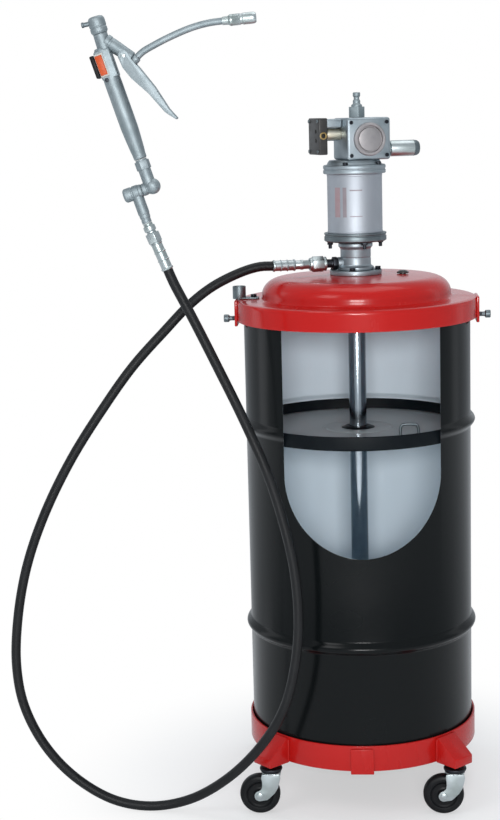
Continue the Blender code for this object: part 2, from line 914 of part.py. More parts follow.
def make_air_valve():
    """The valve block on the motor's head, turned a little, with what is fixed to its sides."""
    frame = Matrix.Translation((block_offset, 0, block_foot)) @ Matrix.Rotation(block_turn, 4, "Z")
    half = block_length / 2
    deep = block_depth / 2
    body = block("valve_block", (-half, -deep, 0), (half, deep, block_height), frame, cast_aluminium,
                 rounding=0.004)
    bore = spindle_radius + spindle_clearance
    pocket = rod("block_pocket", (-half - 0.01, 0, spindle_height), (-half + 0.008, 0, spindle_height),
                 bore, sides=24, place=frame)
    cut(body, pocket)
    cap = turned(
        "valve_cap",
        [
            (0, 0.0052),
            (0.0185, 0.0052),
            (0.0200, 0.0065),
            (0.0240, 0.0065),
            (0.0255, 0.0050),
            (0.0255, 0),
            (0, 0),
        ],
        cast_aluminium,
        frame @ along((0, -deep - GAP, 0.49 * block_height), (0, -1, 0)),
        steps=MIDDLE,
    )
    inner = -cover_plate_place
    outer = inner - cover_plate
    end_cover = block("end_cover", (outer, -0.026, 0.0095), (inner, 0.026, 0.0655), frame, dark_plastic,
                      rounding=0.0015)
    cover_pocket = rod("cover_pocket", (inner + 0.01, 0, spindle_height),
                       (inner - 0.006, 0, spindle_height), bore, sides=24, place=frame)
    ports = [
        rod(f"port_{i + 1}", (outer - 0.01, -0.0105, height), (outer + 0.005, -0.0105, height),
            0.0034, place=frame)
        for i, height in enumerate((0.0450, 0.0310))
    ]
    middle = (inner + outer) / 2
    side_port = rod("side_port", (middle, -0.036, 0.0385), (middle, -0.020, 0.0385), 0.0036,
                    place=frame)
    cut(end_cover, cover_pocket, side_port, *ports)
    bracket = block("valve_bracket", (inner + GAP, -0.012, spindle_height + bore + 0.0010),
                    (-half - GAP, 0.022, block_height - 0.001), frame, cast_aluminium, rounding=0.0015)
    spindle = rod("valve_spindle", (inner - 0.0030, 0, spindle_height),
                  (-half + 0.0040, 0, spindle_height), spindle_radius, brass, sides=24, place=frame)
    length = muffler_length
    muffler = turned(
        "muffler",
        [
            (0, length),
            (0.0060, length - 0.0003),
            (0.0105, length - 0.0030),
            (muffler_radius, length - 0.0075),
            (muffler_radius, 0.0110),
            (0.0110, 0.0090),
            (0.0085, 0.0085),
            (0.0085, 0),
            (0, 0),
        ],
        zinc_plate,
        frame @ along((half + GAP, 0, 0.0155), (1, 0, 0)),
    )
    foot = block_top + GAP
    nipple = turned(
        "air_nipple",
        [
            (nipple_radius - 0.0008, foot + 0.0385),
            (nipple_radius, foot + 0.0375),
            (nipple_radius, foot + 0.0320),
            (nipple_radius - 0.0015, foot + 0.0305),
            (nipple_radius - 0.0015, foot + 0.0275),
            (nipple_radius, foot + 0.0260),
            (nipple_radius, foot + 0.0200),
            (0.0085, foot + 0.0185),
            (0.0085, foot + 0.0170),
            (nipple_bore, foot + 0.0170),
            (nipple_bore, foot + 0.0385),
        ],
        satin_nickel,
        Matrix.Translation((nipple_place, 0, 0)),
        ring=True,
    )
    nut = rod("nipple_nut", (nipple_place, 0, foot), (nipple_place, 0, foot + 0.0180), 0.0130, sides=6)
    nut_bore = rod("nut_bore", (nipple_place, 0, foot + 0.004), (nipple_place, 0, foot + 0.05),
                   nipple_bore)
    join(nipple, nut)
    cut(nipple, nut_bore)
    centre = frame @ Vector(((inner - half) / 2, 0, spindle_height))
    return [body, cap, end_cover, bracket, muffler, nipple], spindle, centre


# ---------------------------------------------------------------- follower plate
def make_follower():
    edge = drum_inner - wiper_clearance
    sheet = follower_height
    joint_radius = edge - wiper_thickness
    plate_disc = turned(
        "follower_plate",
        [
            (joint_radius - GAP, sheet + follower_sheet),
            (joint_radius - GAP, sheet),
            (gland_hole_radius, sheet),
            (gland_hole_radius, sheet + follower_sheet),
        ],
        grey_enamel,
        ring=True,
        steps=ROUND,
    )
    wiper = turned(
        "follower_wiper",
        [
            (edge - 0.0008, sheet + wiper_height - 0.002),
            (edge, sheet + 0.001),
            (edge - 0.001, sheet - 0.002),
            (joint_radius - 0.012, sheet - 0.002),
            (joint_radius - 0.012, sheet - GAP),
            (joint_radius, sheet - GAP),
            (joint_radius, sheet + wiper_height - 0.002),
        ],
        black_rubber,
        ring=True,
        steps=ROUND,
    )
    bore = tube_radius + gland_clearance
    gland = turned(
        "follower_gland",
        [
            (0.0200, sheet + follower_sheet + 0.0025),
            (gland_hole_radius - GAP, sheet + follower_sheet),
            (gland_hole_radius - GAP, sheet),
            (0.0180, sheet - 0.002),
            (bore, sheet - 0.002),
            (bore, sheet + follower_sheet + 0.0025),
        ],
        black_rubber,
        ring=True,
        steps=MIDDLE,
    )
    top = sheet + follower_sheet + GAP
    half = 0.014
    bend = [(-half, 0, top), (-half, 0, top + 0.013)]
    bend += [(x, 0, z) for x, z in arc((-half + 0.005, top + 0.014), 0.005, 170, 90, 3)]
    bend += [(x, 0, z) for x, z in arc((half - 0.005, top + 0.014), 0.005, 90, 10, 3)]
    bend += [(half, 0, top + 0.013), (half, 0, top)]
    handle = wire("follower_handle", bend, 0.0024, zinc_plate, Matrix.Translation((0.080, -0.088, 0)))
    return [plate_disc, wiper, gland, handle]


# ---------------------------------------------------------------- hose
pump_ferrule_end = pump_nut_start + pump_nut_length + GAP + pump_stem_length + ferrule_length
hose_start = outlet_centre + outlet_along * (pump_ferrule_end + GAP)
gun_frame = Matrix.Translation((gun_place[0], gun_front, gun_place[1])) @ Matrix.Rotation(
    -gun_lean, 4, "Y")
leg_axis = -0.0108
leg_end = -0.0475
hose_end_along = Vector((sin(hose_end_lean), 0, -cos(hose_end_lean)))   # down the hose's end
gun_fitting_start = gun_frame @ Vector((leg_axis, 0, leg_end)) + hose_end_along * GAP
gun_fitting_length = 0.0740
hose_finish = gun_fitting_start + hose_end_along * (gun_fitting_length + GAP)

# Chosen by hand: out of the pump, over to the left, down to the floor and up in front of the drum.
hose_points = [
    (-0.176, -0.051, 0.853),
    (-0.221, -0.068, 0.833),
    (-0.258, -0.083, 0.806),
    (-0.296, -0.098, 0.768),
    (-0.345, -0.114, 0.716),
    (-0.393, -0.126, 0.652),
    (-0.444, -0.136, 0.575),
    (-0.489, -0.142, 0.489),
    (-0.520, -0.145, 0.407),
    (-0.538, -0.147, 0.324),
    (-0.544, -0.148, 0.245),
    (-0.535, -0.148, 0.179),
    (-0.505, -0.147, 0.112),
    (-0.459, -0.144, 0.057),
    (-0.399, -0.142, 0.0185),
    (-0.340, -0.143, 0.0082),
    (-0.276, -0.150, 0.0225),
    (-0.210, -0.170, 0.068),
    (-0.152, -0.190, 0.134),
    (-0.119, -0.199, 0.193),
    (-0.101, -0.200, 0.260),
    (-0.094, -0.200, 0.335),
    (-0.099, -0.200, 0.414),
    (-0.113, -0.200, 0.484),
    (-0.135, -0.200, 0.560),
    (-0.169, -0.200, 0.644),
    (-0.207, -0.200, 0.727),
    (-0.241, -0.200, 0.799),
]
hose_spread = cover_radius / 0.190
hose_rise = (outlet_height - hose_radius) / 0.852
hose_route = [
    hose_start,
    hose_start + outlet_along * 0.020,
    *(
        Vector((x * hose_spread, y * hose_spread, hose_radius + (z - hose_radius) * hose_rise))
        for x, y, z in hose_points
    ),
    hose_finish + hose_end_along * 0.020,
    hose_finish,
]


def smooth_line(points, step):
    """Points about a step apart on a smooth curve through these points."""
    points = [Vector(point) for point in points]
    ends = [2 * points[0] - points[1], *points, 2 * points[-1] - points[-2]]
    line = []
    for before, start, end, after in zip(ends, ends[1:], ends[2:], ends[3:]):
        t1 = max((start - before).length, 1e-6) ** 0.5
        t2 = max((end - start).length, 1e-6) ** 0.5
        t3 = max((after - end).length, 1e-6) ** 0.5
        leave = ((start - before) / t1 - (end - before) / (t1 + t2) + (end - start) / t2) * t2
        arrive = ((end - start) / t2 - (after - start) / (t2 + t3) + (after - end) / t3) * t2
        count = max(1, ceil((end - start).length / step))
        for i in range(count):
            t = i / count
            line.append(
                (2 * t**3 - 3 * t**2 + 1) * start
                + (t**3 - 2 * t**2 + t) * leave
                + (3 * t**2 - 2 * t**3) * end
                + (t**3 - t**2) * arrive
            )
    return [*line, points[-1]]


def make_hose():
    hose = wire("hose", smooth_line(hose_route, hose_step), hose_radius, hose_rubber)
    nut_end = pump_nut_start + pump_nut_length
    nut = rod("hose_nut", outlet_centre + outlet_along * pump_nut_start,
              outlet_centre + outlet_along * nut_end, nut_radius, zinc_plate, sides=6)
    ferrule = turned(
        "hose_ferrule_pump",
        [
            (0, pump_stem_length + ferrule_length),
            (hose_radius + 0.0004, pump_stem_length + ferrule_length),
            (ferrule_radius, pump_stem_length + ferrule_length - 0.002),
            (ferrule_radius, pump_stem_length + 0.0015),
            (ferrule_radius - 0.0015, pump_stem_length),
            (stem_radius, pump_stem_length),
            (stem_radius, 0),
            (0, 0),
        ],
        zinc_plate,
        along(outlet_centre + outlet_along * (nut_end + GAP), outlet_along),
    )
    hex_end = 0.031
    gun_ferrule = turned(
        "hose_ferrule_gun",
        [
            (0, gun_fitting_length),
            (hose_radius + 0.0004, gun_fitting_length),
            (ferrule_radius, gun_fitting_length - 0.002),
            (ferrule_radius, hex_end + 0.0015),
            (ferrule_radius - 0.0015, hex_end - 0.001),
            (stem_radius, hex_end - 0.001),
            (stem_radius, 0),
            (0, 0),
        ],
        zinc_plate,
        along(gun_fitting_start, hose_end_along),
    )
    gun_nut = rod("gun_hose_nut", gun_fitting_start + hose_end_along * 0.004,
                  gun_fitting_start + hose_end_along * hex_end, 0.0110, sides=6)
    join(gun_ferrule, gun_nut)
    return [hose, nut, ferrule, gun_ferrule]


# ---------------------------------------------------------------- swivel and gun
def in_gun(across, up, front=0.0):
    """A point of the gun's plane, front measured towards the viewer."""
    return gun_frame @ Vector((across, -front, up))


def make_swivel():
    """Two elbows that turn on each other about the cross axis."""
    cross_face = -0.0010
    lower = rod("swivel_lower", in_gun(-0.0300, 0), in_gun(cross_face - GAP, 0), 0.0105,
                satin_nickel)
    leg_tip = in_gun(leg_axis, leg_end)
    join(
        lower,
        rod("lower_leg", in_gun(leg_axis, 0), in_gun(leg_axis, leg_end + 0.0030), 0.0085),
        rod("lower_leg_tip", leg_tip - hose_end_along * 0.0060, leg_tip, 0.0072),
    )
    upper = rod("swivel_upper", in_gun(cross_face, 0), in_gun(0.0150, 0), 0.0092, satin_nickel,
                sides=24)
    bm = bmesh.new()
    bmesh.ops.create_uvsphere(bm, u_segments=SMALL, v_segments=8, radius=0.0118)
    ball = from_bmesh("elbow_ball", bm, Matrix.Translation(in_gun(0.0150, 0.0005)), None)
    join(
        upper,
        ball,
        rod("upper_arm", in_gun(handle_axis, 0), in_gun(handle_axis, 0.0285), 0.0092),
        rod("upper_hex", in_gun(handle_axis, 0.0275), in_gun(handle_axis, 0.0430), 0.0112, sides=6),
    )
    return lower, upper


def make_gun():
    foot = 0.0433
    handle = turned(
        "gun_handle",
        [
            (0, 0.2120),
            (0.0100, 0.2120),
            (0.0120, 0.2080),
            (0.0120, 0.1700),
            (handle_radius, 0.1620),
            (handle_radius, 0.0900),
            (handle_radius - 0.0020, 0.0600),
            (handle_radius - 0.0030, foot + 0.0020),
            (handle_radius - 0.0045, foot),
            (0, foot),
        ],
        satin_nickel,
        gun_frame @ Matrix.Translation((handle_axis, 0, 0)),
    )
    body_half = 0.0118
    body = block("gun_body", (handle_axis - 0.0125, -body_half, 0.1655),
                 (handle_axis + 0.0125, body_half, 0.2085), gun_frame, rounding=0.0020)
    nose = rod("gun_nose", in_gun(0.0220, 0.2190), in_gun(0.0500, 0.1835), 0.0108, sides=24,
               end_radius=0.0084)
    neck = rod("gun_neck", in_gun(0.0165, 0.2040), in_gun(0.0180, 0.2310), 0.0105)
    boss = rod("tube_boss", in_gun(0.0470, 0.1772), in_gun(0.0580, 0.1823), 0.0070)
    join(handle, body, nose, neck, boss)
    px, pz = lever_pivot
    cut(handle, rod("pin_hole", in_gun(px, pz, -0.03), in_gun(px, pz, 0.03), pin_radius + 0.0003))
    cap = turned(
        "gun_cap",
        [
            (0, 0.0255),
            (0.0085, 0.0250),
            (0.0118, 0.0220),
            (0.0125, 0.0180),
            (0.0125, 0.0030),
            (0.0110, 0),
            (0, 0),
        ],
        satin_nickel,
        along(in_gun(0.0180 + 0.00002, 0.2310 + GAP), in_gun(0.0015, 0.0270) - in_gun(0, 0)),
    )
    knob = rod("cap_knob", in_gun(0.0100, 0.2490), in_gun(-0.0035, 0.2510), 0.0040)
    join(cap, knob)
    outline = arc(lever_pivot, 0.0080, 170, 0, 6)
    outline += [(0.0500, 0.1800), (0.0560, 0.1660), (0.0675, 0.1340), (0.0765, 0.0975)]
    outline += [(0.0835, 0.0810), (0.0815, 0.0795), (0.0700, 0.0940), (0.0565, 0.1270)]
    outline += [(0.0400, 0.1560), (0.0335, 0.1740)]
    stand = gun_frame @ upright
    lever = plate("gun_lever", outline, 2 * lever_half_width, stand, satin_nickel)
    room = [(0.020, 0.206), (0.060, 0.206), (0.0600, 0.1760), (0.0535, 0.1680), (0.0652, 0.1335)]
    room += [(0.0742, 0.0970), (0.0600, 0.0900), (0.020, 0.110)]
    lever_room = plate("lever_room", room, 2 * (lever_half_width - lever_sheet), stand)
    pivot_hole = rod("lever_pivot_hole", in_gun(px, pz, -0.03), in_gun(px, pz, 0.03),
                     pin_radius + 0.0003)
    cut(lever, lever_room, pivot_hole)
    half = lever_half_width + GAP
    pin = turned(
        "lever_pin",
        [
            (0, 2 * half + 0.0024),
            (0.0033, 2 * half + 0.0024),
            (0.0036, 2 * half + 0.0012),
            (pin_radius, 2 * half + 0.0012),
            (pin_radius, 0.0012),
            (0.0036, 0.0012),
            (0.0033, 0),
            (0, 0),
        ],
        zinc_plate,
        along(in_gun(px, pz, half + 0.0012), (0, 1, 0)),
    )
    left = handle_axis - 0.0125 - GAP
    front = -body_half - GAP
    pad = block("lock_pad", (left + 0.0005, front - 0.0038, 0.1715),
                (left + 0.0130, front, 0.2035), gun_frame, orange_plastic, rounding=0.0012)
    lock = block("lock_block", (left - 0.0055, front - 0.0030, 0.1720),
                 (left, 0.0080, 0.2045), gun_frame, dark_plastic, rounding=0.0012)
    tube_line = smooth_line(
        [
            in_gun(0.0583, 0.18244),
            in_gun(0.0640, 0.1850),
            in_gun(0.0710, 0.1872),
            in_gun(0.0870, 0.1898),
            in_gun(0.1050, 0.1922),
            in_gun(0.1390, 0.1945),
            in_gun(0.1600, 0.1938),
            in_gun(0.1760, 0.1917),
            in_gun(0.1905, 0.1885),
        ],
        0.009,
    )
    tube = wire("extension_tube", tube_line, tip_tube_radius, satin_nickel)
    coupler_along = (in_gun(0.2384, 0.1770) - in_gun(0.1905, 0.1885)).normalized()
    coupler = turned(
        "coupler",
        [
            (coupler_radius - 0.0020, coupler_length),
            (coupler_radius, coupler_length - 0.0022),
            (coupler_radius, 0.0300),
            (coupler_radius - 0.0008, 0.0290),
            (coupler_radius - 0.0008, 0.0265),
            (coupler_radius, 0.0255),
            (coupler_radius, 0.0115),
            (0.0064, 0.0090),
            (0.0058, 0),
            (0.0022, 0),
            (0.0022, coupler_length),
        ],
        zinc_plate,
        along(in_gun(0.1905, 0.1885) + coupler_along * GAP, coupler_along),
        ring=True,
    )
    return [handle, cap, pin, pad, lock, tube, coupler], lever


# ---------------------------------------------------------------- the whole object
def build():
    make_drum()
    make_dolly()
    for i in range(4):
        make_caster(i + 1, pi / 4 + i * pi / 2)
    lift = joint("cover_lift_axis", (0, 0, cover_rim_top))
    carry(lift, *make_cover())
    make_clamp_screw("clamp_screw_left", -1, lift)
    make_clamp_screw("clamp_screw_right", 1, lift)
    fixed, moving = make_pump()
    carry(lift, *fixed, *make_motor())
    carry(joint("pump_stroke_axis", (0, 0, cylinder_foot), lift), *moving)
    on_block, spindle, spindle_centre = make_air_valve()
    carry(lift, *on_block)
    carry(joint("valve_spindle_axis", spindle_centre, lift), spindle)
    carry(joint("follower_axis", (0, 0, follower_height)), *make_follower())
    carry(lift, *make_hose())
    lower, upper = make_swivel()
    hose_swivel = joint("hose_swivel_axis", gun_fitting_start, lift)
    carry(hose_swivel, lower)
    gun_swivel = joint("gun_swivel_axis", in_gun(0, 0), hose_swivel)
    gun, lever = make_gun()
    carry(gun_swivel, upper, *gun)
    carry(joint("trigger_axis", in_gun(*lever_pivot), gun_swivel), lever)


build()
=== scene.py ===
# %% [markdown]
# # An air-operated oil pump on a drum, dressed for its portrait
#
# The solids of this object already exist: a steel drum with a window cut in its side, a follower
# plate, a pump on a red cover, a hose and a control gun, all on four casters. This script loads
# them as a fixed frame and gives them their looks. Large round parts are turned again with many
# more facets, small parts get their bolts, and every surface gets a finish that is worked out by
# nodes. Each solid belongs to a body that may move, so each new piece says which body it rides on.

# %% Load the frame
import json
from math import cos, pi, radians, sin

import bmesh
import bpy
from mathutils import Matrix, Vector

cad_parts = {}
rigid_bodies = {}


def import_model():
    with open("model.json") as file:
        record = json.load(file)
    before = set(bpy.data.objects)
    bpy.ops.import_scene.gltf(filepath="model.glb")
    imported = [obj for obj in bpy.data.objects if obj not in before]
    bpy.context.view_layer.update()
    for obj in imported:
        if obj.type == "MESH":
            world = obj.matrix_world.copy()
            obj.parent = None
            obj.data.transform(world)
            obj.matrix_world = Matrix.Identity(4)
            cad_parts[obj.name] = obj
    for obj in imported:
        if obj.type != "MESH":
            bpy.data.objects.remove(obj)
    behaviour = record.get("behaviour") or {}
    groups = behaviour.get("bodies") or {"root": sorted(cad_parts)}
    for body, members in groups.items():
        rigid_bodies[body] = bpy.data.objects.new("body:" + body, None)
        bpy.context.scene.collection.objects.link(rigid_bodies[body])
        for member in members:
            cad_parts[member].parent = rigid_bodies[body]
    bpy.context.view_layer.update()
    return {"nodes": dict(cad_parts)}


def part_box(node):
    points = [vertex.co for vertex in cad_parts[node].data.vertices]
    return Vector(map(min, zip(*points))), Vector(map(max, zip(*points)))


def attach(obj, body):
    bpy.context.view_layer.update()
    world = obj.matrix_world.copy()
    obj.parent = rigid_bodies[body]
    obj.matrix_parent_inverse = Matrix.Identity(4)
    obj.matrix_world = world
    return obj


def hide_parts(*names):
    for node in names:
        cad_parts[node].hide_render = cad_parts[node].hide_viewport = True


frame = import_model()
scene = bpy.context.scene

# %% [markdown]
# ## Where we look from
#
# The camera stands a little above the height of the pump's cover, nearly in front of the window.
# Its three angles could be set with Euler rotations, but it is easier to say which way it looks,
# which way is right and which way is up, and to put those three arrows in the camera's matrix.

# %% The camera
eye = Vector((0.0178, -2.6942, 1.1048))
look_down, look_aside, tilt = 0.1760, -0.0710, 0.0263
ahead = Vector(
    (sin(look_aside) * cos(look_down), cos(look_aside) * cos(look_down), -sin(look_down))
)
level = Vector((cos(look_aside), -sin(look_aside), 0))
above = level.cross(ahead)
to_right = cos(tilt) * level - sin(tilt) * above
to_top = sin(tilt) * level + cos(tilt) * above
camera = bpy.data.objects.new("camera", bpy.data.cameras.new("camera"))
camera.data.lens = 74.64
camera.data.sensor_width = 36
axes = Matrix((to_right, to_top, -ahead)).transposed()
camera.matrix_world = Matrix.Translation(eye) @ axes.to_4x4()
scene.collection.objects.link(camera)
scene.camera = camera
print("camera looks", [round(v, 3) for v in ahead])

# %% [markdown]
# ## Arithmetic for finishes
#
# A finish on a real part is never one flat colour. Its small changes come from node networks, and
# a long chain of Math nodes is hard to read. Wrapping a socket in a small class lets the script
# write `1 - mask * 0.3` and have the nodes appear. Numbers alone stay in Python.

# %% Signals


class Signal:
    """One output socket of a node tree, ready for sums."""

    def __init__(self, finish, socket):
        self.finish, self.socket = finish, socket

    def sum_of(self, operation, first, second):
        """One Math node on two numbers or signals."""
        return self.finish.node("ShaderNodeMath", {"operation": operation}, {0: first, 1: second})

    def __add__(self, other):
        return self.sum_of("ADD", self, other)

    def __radd__(self, other):
        return self.sum_of("ADD", other, self)

    def __sub__(self, other):
        return self.sum_of("SUBTRACT", self, other)

    def __rsub__(self, other):
        return self.sum_of("SUBTRACT", other, self)

    def __mul__(self, other):
        return self.sum_of("MULTIPLY", self, other)

    def __rmul__(self, other):
        return self.sum_of("MULTIPLY", other, self)

    def __gt__(self, other):
        return self.sum_of("GREATER_THAN", self, other)

    def __lt__(self, other):
        return self.sum_of("LESS_THAN", self, other)


class Finish:
    """A material around one Principled shader."""

    def __init__(self, name, **constants):
        self.material = bpy.data.materials.new(name)
        self.material.use_nodes = True
        self.tree = self.material.node_tree
        self.shader = self.tree.nodes["Principled BSDF"]
        for socket, value in constants.items():
            self.shader.inputs[socket.replace("_", " ")].default_value = value

    def node(self, kind, settings=None, values=None, out=0):
        """A node of this kind: its settings first, then the values or links of its sockets."""
        node = self.tree.nodes.new(kind)
        for key, value in (settings or {}).items():
            setattr(node, key, value)
        for key, value in (values or {}).items():
            if isinstance(value, Signal):
                self.tree.links.new(value.socket, node.inputs[key])
            else:
                node.inputs[key].default_value = value
        return Signal(self, node.outputs[out])

    def place(self, stretch=(1, 1, 1)):
        """Where we are on the piece, in metres, with each axis stretched."""
        where = self.node("ShaderNodeTexCoord", out="Object")
        return self.node("ShaderNodeMapping", None, {"Vector": where, "Scale": stretch})

    def axis(self, letter):
        """One coordinate of the place."""
        return self.node("ShaderNodeSeparateXYZ", None, {0: self.place()}, "XYZ".index(letter))

    def noise(self, scale, detail=3, stretch=(1, 1, 1)):
        """Soft random patches, this many to a metre."""
        return self.node(
            "ShaderNodeTexNoise", None,
            {"Vector": self.place(stretch), "Scale": scale, "Detail": detail},
        )

    def steps(self, signal, low, high):
        """0 where the signal is under low, 1 over high, smooth between."""
        return self.node(
            "ShaderNodeMapRange", {"interpolation_type": "SMOOTHSTEP"},
            {"Value": signal, "From Min": low, "From Max": high},
        )

    def mix(self, amount, first, second):
        """Between two colours."""
        first, second = (
            (*colour, 1) if isinstance(colour, tuple) else colour for colour in (first, second)
        )
        return self.node(
            "ShaderNodeMix", {"data_type": "RGBA"}, {0: amount, 6: first, 7: second}, 2,
        )

    def set(self, socket, value):
        """Gives a socket of the shader a link or a value."""
        if isinstance(value, Signal):
            self.tree.links.new(value.socket, self.shader.inputs[socket])
        else:
            self.shader.inputs[socket].default_value = value

    def bump(self, height, depth):
        """Ripples of this depth in metres."""
        self.set("Normal", self.node("ShaderNodeBump", None, {"Height": height, "Distance": depth}))


print("a finish is a Principled shader with sums on its sockets")

# %% [markdown]
# ## Paint
#
# The cover, the dolly band and the drum are painted steel. Sprayed enamel has a soft clear gloss,
# a faint orange-peel skin, a slightly uneven body and a film of dust and finger marks that only
# dulls it. So one function makes every paint: the body colour drifts a little, the marks change
# roughness only, and the orange peel is a very shallow bump.

# %% Enamels


def enamel(name, colour, drift, rough, coat, waves, gloss):
    """Paint of this colour that drifts to another, with waves and gloss in its skin."""
    finish = Finish(name, Coat_Weight=coat, Coat_Roughness=0.06, Specular_IOR_Level=gloss)
    body = finish.noise(5.0, 2)
    smears = finish.noise(16, 5, (1, 1, 0.22))
    specks = finish.steps(finish.noise(900, 2), 0.70, 0.80)
    finish.set("Base Color", finish.mix(specks * 0.2, finish.mix(body, colour, drift),
                                        tuple(0.5 * c + 0.05 for c in colour)))
    marks = finish.steps(smears, 0.50, 0.78)
    finish.set("Roughness", rough + marks * 0.08 + specks * 0.15)
    peel = finish.noise(420, 2) * 0.04
    finish.bump(peel + finish.noise(7, 2, (1, 1, 0.5)) * waves, 0.0004)
    return finish.material


red_enamel = enamel("glossy_red_enamel", (0.46, 0.009, 0.007), (0.40, 0.007, 0.006),
                    rough=0.24, coat=0.15, waves=0.8, gloss=0.22)
drum_black = enamel("drum_black", (0.0028, 0.0038, 0.0042), (0.0042, 0.0054, 0.0058),
                    rough=0.19, coat=0.0, waves=0.9, gloss=0.16)
follower_grey = enamel("follower_grey", (0.36, 0.41, 0.42), (0.30, 0.345, 0.36),
                       rough=0.36, coat=0.05, waves=0.8, gloss=0.3)

# %% [markdown]
# The inside of the drum is not black: a drum for oil is lined with a pale protective coat, and it
# is what shows through the window. The lining is duller than the outside, and drawn out in faint
# upright streaks where the sheet was rolled.

# %% The drum's lining
lining = Finish("drum_lining", Specular_IOR_Level=0.4)
streaks = lining.noise(9, 3, (1, 1, 0.08))
clouds = lining.noise(6, 3)
pale_blue, paler_blue = (0.72, 0.84, 0.93), (0.80, 0.89, 0.96)
lining.set("Base Color", lining.mix(streaks * 0.6 + clouds * 0.4, pale_blue, paler_blue))
lining.set("Roughness", 0.42 + clouds * 0.15)
lining.bump(lining.noise(120, 3, (1, 1, 0.1)), 0.0002)
drum_lining = lining.material
print("paints:", red_enamel.name, drum_black.name, follower_grey.name, drum_lining.name)

# %% [markdown]
# ## Bare metals
#
# Castings, turned bars, zinc plate and chrome are all metal, and differ in grain. A casting has a
# fine pebbly skin, a turned or drawn part has lines along one direction, and zinc plate has cloudy
# patches with a slight colour. One function covers them: the grain's stretch says which way the
# lines run, and the dullness drifts with soft stains.

# %% Metals


def metal(name, colour, stain, rough, grain, depth, stretch=(1, 1, 1), spread=0.12):
    """Bare metal with a grain so many to a metre and so deep."""
    finish = Finish(name, Metallic=1.0)
    cloud = finish.noise(45, 4)
    lines = finish.noise(grain, 3, stretch)
    finish.set("Base Color", finish.mix(finish.steps(cloud, 0.35, 0.75), colour, stain))
    finish.set("Roughness", rough + cloud * spread + lines * 0.10)
    finish.bump(lines, depth)
    return finish.material


cast_aluminium = metal("pebbly_aluminium", (0.38, 0.43, 0.46), (0.30, 0.35, 0.38), 0.38, 520, 3e-5)
machined = metal("machined_aluminium", (0.62, 0.64, 0.66), (0.52, 0.54, 0.57), 0.24, 1500, 2e-5,
                 (1, 1, 0.04))
turned_face = metal("turned_aluminium", (0.40, 0.38, 0.385), (0.32, 0.31, 0.315), 0.42, 900, 2e-5)
chrome = metal("hard_chrome", (0.40, 0.45, 0.49), (0.34, 0.39, 0.43), 0.09, 1200, 4e-6,
               (1, 1, 0.05), spread=0.04)
zinc = metal("bright_zinc", (0.50, 0.55, 0.56), (0.40, 0.46, 0.45), 0.28, 700, 2e-5)
dull_zinc = metal("dull_zinc", (0.20, 0.235, 0.25), (0.14, 0.17, 0.185), 0.38, 500, 3e-5)
nickel = metal("soft_nickel", (0.34, 0.39, 0.41), (0.27, 0.32, 0.34), 0.48, 650, 2e-5)
brass = metal("turned_brass", (0.84, 0.79, 0.66), (0.72, 0.66, 0.50), 0.30, 900, 2e-5)
old_brass = metal("old_brass", (0.34, 0.24, 0.10), (0.22, 0.15, 0.06), 0.34, 900, 2e-5)
black_oxide = metal("black_oxide", (0.040, 0.043, 0.050), (0.022, 0.024, 0.030), 0.36, 600, 3e-5)
print("metals share one function with different grains")

# %% [markdown]
# The air cylinder of a real pump carries a printed panel. Lettering isn't wanted here, so this one
# has two solid bars and two thin lines in dull red, faded by years of wiping. It is drawn by
# comparing the place on the surface with the edges of the bars, on the same satin metal.

# %% The air cylinder's metal with its plain printed bars
printed = Finish("air_cylinder_metal", Metallic=1.0)
drawn = printed.noise(1100, 3, (1, 1, 0.03))
haze = printed.noise(30, 3)
side = printed.axis("X")
facing = printed.axis("Y") < 0
height = printed.axis("Z")


def bar(left, right, low, high):
    """1 inside a rectangle on the cylinder's front, 0 elsewhere."""
    return (side > left) * (side < right) * (height > low) * (height < high) * facing


bars = bar(-0.0305, -0.0225, 0.9330, 0.9790) + bar(-0.0185, -0.0125, 0.9330, 0.9790)
thin_lines = bar(-0.0075, 0.0120, 0.9735, 0.9755) + bar(-0.0075, 0.0120, 0.9335, 0.9350)
ink_left = (printed.noise(60, 2) * 0.25 + 0.4) * (bars + thin_lines)
bare_metal = printed.mix(haze, (0.47, 0.50, 0.54), (0.41, 0.44, 0.48))
ink_colour = printed.mix(side > -0.0200, (0.36, 0.13, 0.13), (0.17, 0.075, 0.08))
printed.set("Base Color", printed.mix(ink_left, bare_metal, ink_colour))
printed.set("Metallic", 1 - ink_left * 0.8)
printed.set("Roughness", 0.52 + drawn * 0.08 + ink_left * 0.10)
printed.bump(drawn, 0.00004)
cylinder_metal = printed.material
print("the cylinder's panel has bars and no letters")

# %% [markdown]
# ## Rubber and plastic
#
# Rubber is nearly black and soaks up light, with a fine skin and a bloom of dust that makes it
# greyer in patches. Moulded plastic is smoother, with an even spark-eroded texture.

# %% Rubbers and plastics


def moulded(name, colour, bloom, rough, gloss=0.4):
    """A moulded skin with dust of the bloom's colour in its patches."""
    finish = Finish(name, Specular_IOR_Level=gloss)
    dust = finish.steps(finish.noise(60, 5), 0.42, 0.80)
    finish.set("Base Color", finish.mix(dust * 0.6, colour, bloom))
    finish.set("Roughness", rough + dust * 0.18)
    finish.bump(finish.noise(900), 3e-5)
    return finish.material


